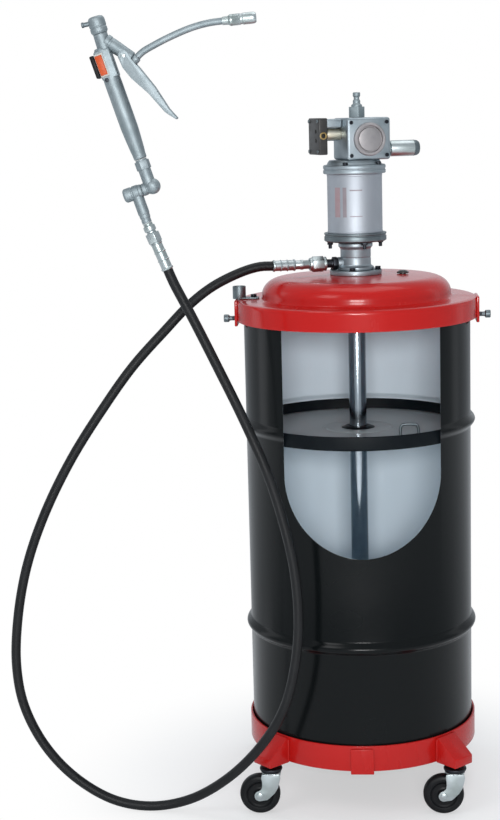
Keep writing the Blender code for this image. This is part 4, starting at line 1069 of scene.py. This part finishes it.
# %% Thumb screws, plug, holder
for name, body, side in (("left", "clamp_left", -1), ("right", "clamp_right", 1)):
    screw_tip = 0.1798
    knob = 0.212 - screw_tip
    thread = []
    for i in range(12):
        thread += [(0.0039, 0.0022 + i * 0.0014), (0.0034, 0.0029 + i * 0.0014)]
    shape = turned([
        (0, 0), (0.0030, 0.0002), (0.0038, 0.0014), *thread, (0.0039, knob - 0.0095),
        (0.0050, knob - 0.0090), (0.0061, knob - 0.0080), (0.0062, knob - 0.0016),
        (0.0054, knob - 0.0004), (0, knob)
    ], 32, place=along((side * screw_tip, 0, clamp_height), (side, 0, 0)))
    piece(f"thumb_screw_{name}", shape, dull_zinc, body, f"clamp_screw_{name}")
plug = turned([
    (0, 0.8459), (0.0040, 0.8458), (0.0066, 0.8450), (0.0072, 0.8442), (0.0090, 0.8436),
    (0.0095, 0.8428), (0.0094, 0.8414), (0.0050, 0.8413), (0.0050, 0.8325), (0, 0.8320)
], 48, place=at(plug_x, 0, 0))
piece("filler_plug", plug, black_plastic, "pump_unit", "cover_plug")
seat = 0.8053
cup = turned([(0, seat), (0.0105, seat), (0.0105, seat + 0.0200), (0.0085, seat + 0.0200),
              (0.0085, seat + 0.0030), (0, seat + 0.0030)], 48, 0.0004, 2, place=at(-0.186, 0, 0))
foot = block((-0.1835, -0.0095, seat), (-0.155, 0.0095, seat + 0.0022), 0.0006)
piece("gun_rest_cup", together(cup, foot), dull_zinc, "pump_unit", "gun_holder")
bolt = together(
    nut(0.0052, 0.0040, at(rest_bolt_x, 0, seat + 0.0027)),
    rod(0.0030, 0.0040, 24, ease=0, place=at(rest_bolt_x, 0, seat - 0.004), foot=-0.001)
)
piece("gun_rest_bolt", bolt, black_oxide, "pump_unit", "holder_bolt")
print(
    "on the cover:", [counts[name] for name in ("thumb_screw_left", "filler_plug", "gun_rest_cup")]
)

# %% [markdown]
# ## The pump's column
#
# A flange stands on the dome with four dark bolts. Above it the pump's body turns in and out
# again, with a boss on its left for the oil outlet. Below the cover the chromed pump tube goes
# down to the foot valve, with the priming plate on the rod beneath it. Chrome shows its round
# shape only by its reflections, so the tube is a plain, very smooth turning, and its ends are what
# get the detail.

# %% Flange, body and outlet
flange_foot = 0.8413
flange = turned([
    (0.0145, flange_foot), (0.0410, flange_foot), (0.0410, flange_foot + 0.0070),
    (0.0310, flange_foot + 0.0070), (0.0300, flange_foot + 0.0064), (0.0145, flange_foot + 0.0064)
], 96, 0.0010, 3, ring=True)
piece("pump_foot_flange", flange, cast_aluminium, "pump_unit", "pump_flange")
bolts = []
for i in range(4):
    turn = radians(-8 + 90 * i)
    spot = at(0.0352 * cos(turn), 0.0352 * sin(turn), flange_foot + 0.0070)
    bolts += [rod(0.0056, 0.0010, 32, 0.0002, place=spot),
              nut(0.0050, 0.0042, spot @ at(0, 0, 0.0010), turn=0.4 * i)]
piece("pump_foot_bolts", together(*bolts), black_oxide, "pump_unit")
body_foot, body_top = 0.8486, 0.8901
body = turned([
    (0.0056, body_foot), (0.0285, body_foot), (0.0288, body_foot + 0.0042),
    (0.0250, body_foot + 0.0066), (0.0240, body_foot + 0.0085), (0.0240, body_foot + 0.0180),
    (0.0236, body_foot + 0.0186), (0.0236, body_foot + 0.0200), (0.0240, body_foot + 0.0206),
    (0.0240, body_top - 0.0090), (0.0252, body_top - 0.0066), (0.0270, body_top - 0.0048),
    (0.0270, body_top), (0.0056, body_top)
], 96, 0.0005, 3, ring=True)
boss = rod(0.0095, 0.0180, 48, 0.0006, 3, along(outlet + leave * 0.0120, leave))
piece(
    "pump_column", carved(body, joined=[boss]), cast_aluminium, "pump_unit", "pump_body",
)
at_adapter = along(outlet + leave * 0.0303, leave)
adapter = together(
    nut(0.0105, 0.0075, at_adapter @ at(0, 0, 0.0004), turn=0.25),
    turned([
        (0.0035, 0.0184), (0.0066, 0.0184), (0.0070, 0.0176), (0.0066, 0.0166), (0.0070, 0.0156),
        (0.0066, 0.0146), (0.0070, 0.0136), (0.0066, 0.0126), (0.0070, 0.0116), (0.0066, 0.0106),
        (0.0070, 0.0096), (0.0070, 0.0076), (0.0035, 0.0076)
    ], 40, ring=True, place=at_adapter)
)
piece("outlet_nipple", adapter, black_oxide, "pump_unit", "outlet_adapter")
print("column:", counts["pump_column"], "triangles")

# %% Tube, foot valve, rod and piston
tube_radius = 0.01375
piece("pump_tube_chromed",
      ring_of(0.01075, tube_radius, 0.2003, 0.8410, 96, 0.0004),
      chrome, "pump_unit", "pump_tube")
foot = turned([
    (0.0056, 0.1650), (0.0118, 0.1650), (tube_radius, 0.1668), (tube_radius, 0.1900),
    (0.0130, 0.1906), (0.0130, 0.1930), (tube_radius, 0.1936), (tube_radius, 0.2000),
    (0.0056, 0.2000)
], 72, 0.0004, 2, ring=True)
slots = [block((-0.004, -0.025, 0.1730), (0.004, 0.025, 0.1850), 0.0015),
         block((-0.025, -0.004, 0.1730), (0.025, 0.004, 0.1850), 0.0015)]
piece("pump_foot_valve", carved(foot, *slots), dull_zinc, "pump_unit", "foot_valve")
piece("pump_rod_ground", rod(0.0050, 0.8324, ease=0.0006, foot=0.1000),
      chrome, "pump_piston", "pump_rod")
piece(
    "priming_disc",
    turned([
        (0.0052, 0.1041), (0.0120, 0.1044), (0.0120, 0.1072), (0.0110, 0.1078), (0.0052, 0.1078)
    ], 48, 0.0003, 2, ring=True),
    dull_zinc, "pump_piston", "priming_plate"
)
piston_finish = frame["nodes"]["air_piston"].data.materials
piston_finish.clear()
piston_finish.append(machined)
print("tube:", counts["pump_tube_chromed"], "foot:", counts["pump_foot_valve"])

# %% [markdown]
# ## The air motor
#
# A drawn aluminium cylinder is clamped between a base and a head. The base's tie bolts show their
# ends below its flange, and the head carries four black socket screws beside the valve block.

# %% Base, cylinder and head
motor_foot, cylinder_foot, head_foot, head_top = 0.8904, 0.9074, 0.9991, 1.0201
block_turn = 20
base = turned([
    (0.0056, motor_foot), (0.0270, motor_foot), (0.0300, motor_foot + 0.0022),
    (0.0465, motor_foot + 0.0030), (0.0490, motor_foot + 0.0048), (0.0490, 0.9016),
    (0.0478, 0.9022), (0.0478, 0.9040), (0.0490, 0.9046), (0.0490, 0.9071), (0.0056, 0.9071)
], 112, 0.0005, 3, ring=True)
piece("motor_base_casting", base, dull_zinc, "pump_unit", "motor_base")
ends = []
for i in range(4):
    turn = radians(20 + 90 * i)
    spot = at(0.0420 * cos(turn), 0.0420 * sin(turn), motor_foot + 0.0032)
    down = spot @ Matrix.Rotation(pi, 4, "X")
    ends += [
        nut(0.0052, 0.0042, down, turn=0.5 * i),
        turned([
            (0, 0.0040), (0.0028, 0.0040), (0.0028, 0.0098), (0.0022, 0.0104), (0, 0.0104)
        ], 24, place=down)
    ]
piece("motor_tie_bolt_ends", together(*ends), black_oxide, "pump_unit")
cylinder = turned(
    [(0.0435, 0.9988), (0.0435, 0.9962), (0.0431, 0.9956), (0.0431, 0.9106), (0.0435, 0.9100),
     (0.0435, cylinder_foot), (0.0410, cylinder_foot), (0.0410, 0.9988)], 128, 0.0002, 2, ring=True)
piece(
    "motor_air_cylinder", cylinder, cylinder_metal, "pump_unit", "motor_cylinder"
)
head = turned([
    (0, head_top), (0.0392, head_top), (0.0420, head_top - 0.0040), (0.0430, head_top - 0.0066),
    (0.0478, head_top - 0.0074), (0.0490, head_top - 0.0090), (0.0490, 1.0074), (0.0480, 1.0068),
    (0.0480, 1.0052), (0.0490, 1.0046), (0.0490, head_foot + 0.0012), (0.0478, head_foot),
    (0, head_foot)
], 112, 0.0005, 3)
piece("motor_head_casting", head, cast_aluminium, "pump_unit", "motor_head")
screws = []
for offset in (-128, -52, 52, 128):
    turn = radians(block_turn + offset)
    spot = at(0.0442 * cos(turn), 0.0442 * sin(turn), head_top - 0.0078)
    screws.append(socket_screw(0.0040, 0.0052, spot))
piece("motor_head_screws", together(*screws), black_oxide, "pump_unit")
print(
    "motor:",
    counts["motor_base_casting"] + counts["motor_air_cylinder"] + counts["motor_head_casting"]
)

# %% [markdown]
# ## The valve block
#
# The block on top sends air to either side of the piston. It stands turned by twenty degrees, with
# a round cap on its front, an exhaust muffler on its right, and on its left a short spindle that
# reaches into a black end cover with three ports. Every one of these is placed in the block's own
# frame, so the turn is said once.

# %% Block, cap and bracket
block_frame = at(0.012, 0, 1.0204) @ Matrix.Rotation(radians(block_turn), 4, "Z")


def on_block(start, direction):
    """A frame in the valve block's own axes."""
    return block_frame @ along(start, direction)


spindle_height = 0.0402
pocket = round_bar(0.0088, 40, 0.018, place=on_block((-0.0365, 0, spindle_height), (1, 0, 0)))
housing = carved(
    block((-0.0355, -0.0340, 0), (0.0355, 0.0340, 0.0647), 0.0042, block_frame, 4), pocket
)
piece("air_valve_housing", housing, cast_aluminium, "pump_unit", "valve_block")
cap = turned([
    (0, 0.0050), (0.0165, 0.0050), (0.0178, 0.0046), (0.0184, 0.0026), (0.0198, 0.0026),
    (0.0204, 0.0058), (0.0212, 0.0065), (0.0238, 0.0065), (0.0252, 0.0054), (0.0255, 0.0040),
    (0.0255, 0), (0, 0)
], 112, place=on_block((0, -0.0343, 0.0317), (0, -1, 0)))
piece("air_valve_cap", cap, turned_face, "pump_unit", "valve_cap")
piece("air_valve_bracket",
      together(block((-0.0642, -0.0120, 0.0500), (-0.0358, 0.0220, 0.0637), 0.0022, block_frame, 3),
               block((-0.0642, 0.0080, 0.0300), (-0.0358, 0.0215, 0.0520), 0.0022, block_frame, 3)),
      cast_aluminium, "pump_unit", "valve_bracket")
corner_screws = [
    socket_screw(0.0030, 0.0022, on_block((x, -0.0338, z), (0, -1, 0)))
    for x in (-0.0290, 0.0290) for z in (0.0070, 0.0575)
]
piece(
    "air_valve_screws", together(*corner_screws), black_oxide, "pump_unit"
)
print("valve housing:", counts["air_valve_housing"])

# %% End cover, spindle, muffler
outer, inner_face = -0.0785, -0.0645
ports = [round_bar(0.0034, 24, 0.015, place=on_block((outer - 0.0025, -0.0105, z), (1, 0, 0)))
         for z in (0.0450, 0.0310)]
ports += [
    round_bar(0.0036, 24, 0.016, place=on_block((-0.0715, -0.0280, 0.0385), (0, 1, 0))),
    round_bar(0.0088, 40, 0.016, place=on_block((inner_face + 0.002, 0, spindle_height), (1, 0, 0)))
]
lid = carved(
    block((outer, -0.0260, 0.0095), (inner_face, 0.0260, 0.0655), 0.0018, block_frame, 3), *ports
)
piece("air_valve_end_cover", lid, black_plastic, "pump_unit", "end_cover")
side_port = on_block((-0.0715, -0.0258, 0.0385), (0, -1, 0))
piece("end_cover_port_ring", ring_of(0.0034, 0.0058, 0, 0.0014, 40, 0.0003, place=side_port),
      old_brass, "pump_unit")
lid_screws = [socket_screw(0.0026, 0.0020, on_block((outer + 0.0002, y, z), (-1, 0, 0)))
              for y in (-0.0210, 0.0210) for z in (0.0145, 0.0605)]
piece("end_cover_screws", together(*lid_screws), dull_zinc, "pump_unit")
spindle = turned([
    (0, 0), (0.0085, 0), (0.0085, 0.0070), (0.0078, 0.0076), (0.0078, 0.0088), (0.0085, 0.0094),
    (0.0085, 0.0360), (0, 0.0360)
], 48, 0.0003, 2, place=on_block((-0.0675, 0, spindle_height), (1, 0, 0)))
piece("valve_spindle_turned", spindle, brass, "spindle", "valve_spindle")
at_muffler = on_block((0.0358, 0, 0.0155), (1, 0, 0))
muffler = turned([
    (0, 0.0600), (0.0060, 0.0597), (0.0098, 0.0582), (0.0116, 0.0556), (0.0121, 0.0520),
    (0.0121, 0.0500), (0.0125, 0.0495), (0.0125, 0.0130), (0.0112, 0.0104), (0.0088, 0.0094),
    (0.0085, 0), (0, 0)
], 72, place=at_muffler)
piece("exhaust_muffler", together(muffler, nut(0.0115, 0.0070, at_muffler @ at(0, 0, 0.0015))),
      zinc, "pump_unit", "muffler")
dark_end = turned([
    (0.0118, 0.0490), (0.01255, 0.0490), (0.0126, 0.0500), (0.0122, 0.0522), (0.0117, 0.0557),
    (0.0099, 0.0583), (0.0061, 0.0598), (0, 0.0601), (0, 0.0580)
], 72, place=at_muffler)
piece("exhaust_muffler_end", dark_end, dull_zinc, "pump_unit")
nipple_place = at(0.005, 0, 1.0854)
nipple = together(
    nut(0.0130, 0.0165, nipple_place, turn=0.2),
    turned([
        (0.0026, 0.0385), (0.0048, 0.0385), (0.0058, 0.0374), (0.0058, 0.0328), (0.0044, 0.0308),
        (0.0044, 0.0276), (0.0058, 0.0258), (0.0058, 0.0214), (0.0066, 0.0204), (0.0085, 0.0192),
        (0.0085, 0.0150), (0.0026, 0.0150)
    ], 64, 0.0003, 2, ring=True, place=nipple_place)
)
piece("air_inlet_nipple", nipple, nickel, "pump_unit", "air_nipple")
print("end cover:", counts["air_valve_end_cover"], "nipple:", counts["air_inlet_nipple"])

# %% [markdown]
# ## The follower plate
#
# A steel disc lies on the oil and sinks with it. A rubber wiper round its edge scrapes the drum's
# wall, a second seal hugs the pump tube, and a small wire handle lifts it out.

# %% Plate, wiper, gland and handle
disc = turned([
    (0.1722, 0.5950), (0.1722, 0.5920), (0.0270, 0.5920), (0.0270, 0.5950), (0.0300, 0.5950),
    (0.0500, 0.5948), (0.0520, 0.5938), (0.0560, 0.5936), (0.0580, 0.5946), (0.1560, 0.5948),
    (0.1600, 0.5950)
], 160, 0.0003, 2, ring=True)
piece("follower_disc", disc, follower_grey, "follower", "follower_plate")
wiper = turned([
    (0.1757, 0.6115), (0.1762, 0.6105), (0.1765, 0.5930), (0.1755, 0.5900), (0.1605, 0.5900),
    (0.1605, 0.5917), (0.1725, 0.5917), (0.1725, 0.6105), (0.1730, 0.6115)
], 160, 0.0002, 2, ring=True)
piece("follower_wiper_lip", wiper, seal_rubber, "follower", "follower_wiper")
gland = turned([
    (0.01435, 0.5900), (0.0180, 0.5900), (0.0267, 0.5918), (0.0267, 0.5948), (0.0200, 0.5976),
    (0.01435, 0.5976)
], 72, 0.0005, 3, ring=True)
piece("follower_gland_seal", gland, seal_rubber, "follower", "follower_gland")
ring_line = smooth_line([
    (0.066, -0.088, 0.5957), (0.066, -0.088, 0.6020), (0.0662, -0.088, 0.6070),
    (0.0685, -0.088, 0.6130), (0.0740, -0.088, 0.6143), (0.0800, -0.088, 0.6143),
    (0.0860, -0.088, 0.6143), (0.0915, -0.088, 0.6130), (0.0938, -0.088, 0.6070),
    (0.094, -0.088, 0.6020), (0.094, -0.088, 0.5957)
], 0.0012)
piece(
    "follower_lift_handle", tube(ring_line, 0.0023, 16), dull_zinc, "follower", "follower_handle",
)
print("follower:", counts["follower_disc"] + counts["follower_wiper_lip"])

# %% [markdown]
# ## The control gun
#
# The gun's handle is a die casting: a round grip that swells in the middle, a squared body for the
# valve, a slanting nose and a cap on top. The lever is a pressed channel that already has its bent
# outline, so a copy of its solid is merged, its flat faces are joined up, and its edges are eased.

# %% Handle and cap
grip = turned([
    (0, 0.0433), (0.0080, 0.0433), (0.0096, 0.0446), (0.0098, 0.0520), (0.0104, 0.0560),
    (0.0107, 0.0600), (0.0118, 0.0760), (0.0126, 0.0900), (0.0127, 0.1100), (0.0127, 0.1540),
    (0.0126, 0.1620), (0.0120, 0.1700), (0.0120, 0.2080), (0.0100, 0.2120), (0, 0.2120)
], 72, 0.0004, 2, place=gun_frame @ at(0.012, 0, 0))
valve_body = block((-0.0005, -0.0118, 0.1655), (0.0245, 0.0118, 0.2085), 0.0030, gun_frame, 4)
nose = turned([
    (0, 0), (0.0108, 0), (0.0106, 0.0060), (0.0098, 0.0068), (0.0098, 0.0090), (0.0102, 0.0098),
    (0.0086, 0.0440), (0.0080, 0.0452), (0, 0.0452)
], 56, 0.0004, 2, place=between(in_gun(0.0220, 0.2190), in_gun(0.0500, 0.1835)))
neck = turned([(0, 0), (0.0105, 0), (0.0105, 0.0262), (0.0100, 0.0270), (0, 0.0270)], 56, 0.0003, 2,
              place=between(in_gun(0.0165, 0.2040), in_gun(0.0180, 0.2310)))
boss = turned([(0, 0), (0.0070, 0), (0.0070, 0.0095), (0.0062, 0.0121), (0, 0.0121)], 48, 0.0004, 2,
              place=between(in_gun(0.0470, 0.1772), in_gun(0.0580, 0.1823)))
pin_hole = round_bar(0.0023, 24, 0.06, place=along(in_gun(0.040, 0.190), (0, 1, 0)))
gun_body = carved(grip, pin_hole, joined=[valve_body, nose, neck, boss])
piece("gun_grip_and_body", gun_body, nickel, "gun", "gun_handle")
cap_place = along(in_gun(0.01802, 0.2313), gun_frame.to_3x3() @ Vector((0.0015, 0, 0.0270)))
gun_cap = turned([
    (0, 0), (0.0106, 0), (0.0116, 0.0016), (0.0125, 0.0030), (0.0125, 0.0080), (0.0118, 0.0086),
    (0.0118, 0.0098), (0.0125, 0.0104), (0.0125, 0.0180), (0.0119, 0.0215), (0.0104, 0.0238),
    (0.0080, 0.0250), (0, 0.0255)
], 56, 0.0003, 2, place=cap_place)
knob = turned([
    (0, 0), (0.0034, 0), (0.0034, 0.0100), (0.0040, 0.0106), (0.0040, 0.0132), (0.0034, 0.0137),
    (0, 0.0137)
], 32, 0.0002, 2, place=between(in_gun(0.0100, 0.2490), in_gun(-0.0035, 0.2510)))
piece("gun_top_cap", gun_cap, nickel, "gun", "gun_cap")
piece("gun_cap_knob", knob, dull_zinc, "gun")
print("gun body:", counts["gun_grip_and_body"])

# %% Lever, lock, tube and coupler


def softened(node, width, segments=2):
    """A merged copy of a solid with its flat faces joined up and its edges eased."""
    bm = bmesh.new()
    bm.from_mesh(frame["nodes"][node].data)
    bmesh.ops.remove_doubles(bm, verts=bm.verts, dist=1e-6)
    bmesh.ops.dissolve_limit(bm, angle_limit=radians(1), verts=bm.verts, edges=bm.edges)
    return eased(bm, width, segments, 40)


piece(
    "gun_lever_pressing", softened("gun_lever", 0.0005), nickel, "trigger", "gun_lever",
)
piece(
    "lever_pivot_pin",
    turned([
        (0, 0.0284), (0.0024, 0.0283), (0.0034, 0.0276), (0.0036, 0.0260), (0.0020, 0.0259),
        (0.0020, 0.0012), (0.0036, 0.0011), (0.0034, 0.0004), (0.0024, 0), (0, 0)
    ], 40, place=along(in_gun(0.040, 0.190, 0.0130), (0, 1, 0))),
    zinc, "gun", "lever_pin"
)
piece(
    "gun_lock_pad",
    block((0.0004, -0.0159, 0.1730), (0.0108, -0.0128, 0.2020), 0.0012, gun_frame, 3),
    orange_plastic, "gun", "lock_pad"
)
piece(
    "gun_lock_surround",
    block((-0.0003, -0.0141, 0.1705), (0.0128, -0.0119, 0.2045), 0.0010, gun_frame, 3), pad_grey,
    "gun"
)
piece(
    "gun_lock_slide",
    block((-0.0070, -0.0151, 0.1715), (-0.0008, 0.0080, 0.2045), 0.0014, gun_frame, 3), slide_black,
    "gun", "lock_block"
)
lock_screw = socket_screw(0.0030, 0.0018, along(in_gun(0.0060, 0.1655, 0.0116), (0, -1, 0)))
piece("gun_lock_screw", lock_screw, black_oxide, "gun")
spout = smooth_line([in_gun(*spot) for spot in (
    (0.0583, 0.18244), (0.0640, 0.1850), (0.0710, 0.1872), (0.0870, 0.1898), (0.1050, 0.1922),
    (0.1390, 0.1945), (0.1600, 0.1938), (0.1760, 0.1917), (0.1905, 0.1885))], 0.0025)
piece("gun_spout_tube", tube(spout, 0.0050, 24), nickel, "gun", "extension_tube")
coupler_along = (in_gun(0.2384, 0.1770) - in_gun(0.1905, 0.1885)).normalized()
section = [(0.0022, 0), (0.0058, 0), (0.0064, 0.0088), (0.0084, 0.0115), (0.0084, 0.0130)]
for i in range(9):
    section += [(0.0084, 0.0140 + i * 0.0012), (0.00805, 0.0146 + i * 0.0012)]
section += [
    (0.0084, 0.0252), (0.0076, 0.0262), (0.0076, 0.0292), (0.0084, 0.0302), (0.0084, 0.0440),
    (0.0081, 0.0466), (0.0064, 0.0490), (0.0030, 0.0490), (0.0022, 0.0482)
]
piece(
    "grease_coupler",
    turned(
        section, 56, ring=True,
        place=along(in_gun(0.1905, 0.1885) + coupler_along * 0.0003, coupler_along)
    ),
    zinc, "gun", "coupler"
)
print("gun:", [counts[name] for name in ("gun_lever_pressing", "gun_spout_tube", "grease_coupler")])

# %% [markdown]
# ## The studio
#
# The object stands on a pale floor in a white room. Dark gloss paint shows what it reflects, so
# the room is kept dim where its light would wash the drum's front out, and two tall, weak soft
# boxes behind the drum draw an upright light line near each of its edges. A low box far in front
# shines through the window and lights the drum's lining, and the key box on the left and the large
# box overhead model the cover, the motor and the gun.

# %% Floor and lights
ground = bmesh.new()
bmesh.ops.create_circle(ground, cap_ends=True, segments=128, radius=40)
ground_mesh = bpy.data.meshes.new("studio_floor")
ground.to_mesh(ground_mesh)
ground.free()
floor = bpy.data.objects.new("studio_floor", ground_mesh)
scene.collection.objects.link(floor)
pale = Finish("pale_floor", Roughness=0.7, Specular_IOR_Level=0.05)
pale.shader.inputs["Base Color"].default_value = (0.90, 0.91, 0.92, 1)
reach = pale.node("ShaderNodeVectorMath", {"operation": "LENGTH"}, {0: pale.place()}, "Value")
seen = pale.node("ShaderNodeLightPath", out="Is Camera Ray")
glow = pale.node("ShaderNodeEmission", None, {"Color": (1, 1, 1, 1)})
# Seen by the camera, the floor is mixed with a white glow: 45% of it near the object and all of it
# from 0.55 m out. This painted glow lightens the shadows on the floor and fades it into the white
# backdrop.
painted_glow_share = (pale.steps(reach, 0.20, 0.55) * 0.55 + 0.45) * seen
painted = Signal(pale, pale.shader.outputs[0])
floor_look = pale.node("ShaderNodeMixShader", None, {0: painted_glow_share, 1: painted, 2: glow})
pale.tree.links.new(floor_look.socket, pale.tree.nodes["Material Output"].inputs["Surface"])
floor.data.materials.append(pale.material)


def soft_box(name, place, look_at, size, power, colour=(1, 1, 1)):
    """A rectangle of light that faces a point."""
    light = bpy.data.lights.new(name, "AREA")
    light.shape = "RECTANGLE"
    light.size, light.size_y = size
    light.energy = power
    light.color = colour
    obj = bpy.data.objects.new(name, light)
    obj.matrix_world = along(place, Vector(place) - Vector(look_at))
    scene.collection.objects.link(obj)


soft_box("box_left", (-2.3, 0.7, 1.1), (0, 0, 0.5), (0.6, 2.2), 3.5, (0.94, 0.96, 1.0))
soft_box("box_right", (2.2, 0.9, 1.1), (0, 0, 0.5), (0.5, 2.2), 1.5, (0.94, 0.97, 1.0))
soft_box("box_front", (0.1, -3.6, 1.35), (0, 0, 0.70), (1.0, 0.6), 70)
soft_box("box_key", (-1.4, -1.8, 2.7), (0, 0, 0.7), (1.0, 1.0), 12)
soft_box("box_top", (0.2, 0.3, 3.0), (0, 0, 0.8), (1.6, 1.6), 14)


class Room(Finish):
    """The world around the object, built with the same node method."""

    def __init__(self, name):
        self.world = bpy.data.worlds.new(name)
        self.world.use_nodes = True
        self.tree = self.world.node_tree


room = Room("white_room")
direction = room.node("ShaderNodeTexCoord", out="Generated")
behind = room.node("ShaderNodeSeparateXYZ", None, {0: direction}, 1)
lighting = room.node("ShaderNodeBackground", None, {
    "Color": (0.88, 0.94, 1.0, 1), "Strength": room.steps(behind, 0.75, 0.98) * 0.35 + 0.54})
backdrop = room.node("ShaderNodeBackground", None, {"Color": (1, 1, 1, 1)})
seen = room.node("ShaderNodeLightPath", out="Is Camera Ray")
shown = room.node("ShaderNodeMixShader", None, {0: seen, 1: lighting, 2: backdrop})
room.tree.links.new(shown.socket, room.tree.nodes["World Output"].inputs["Surface"])
scene.world = room.world
scene.view_settings.view_transform = "Standard"
print("studio ready;", sum(counts.values()), "triangles in", len(counts), "new pieces")
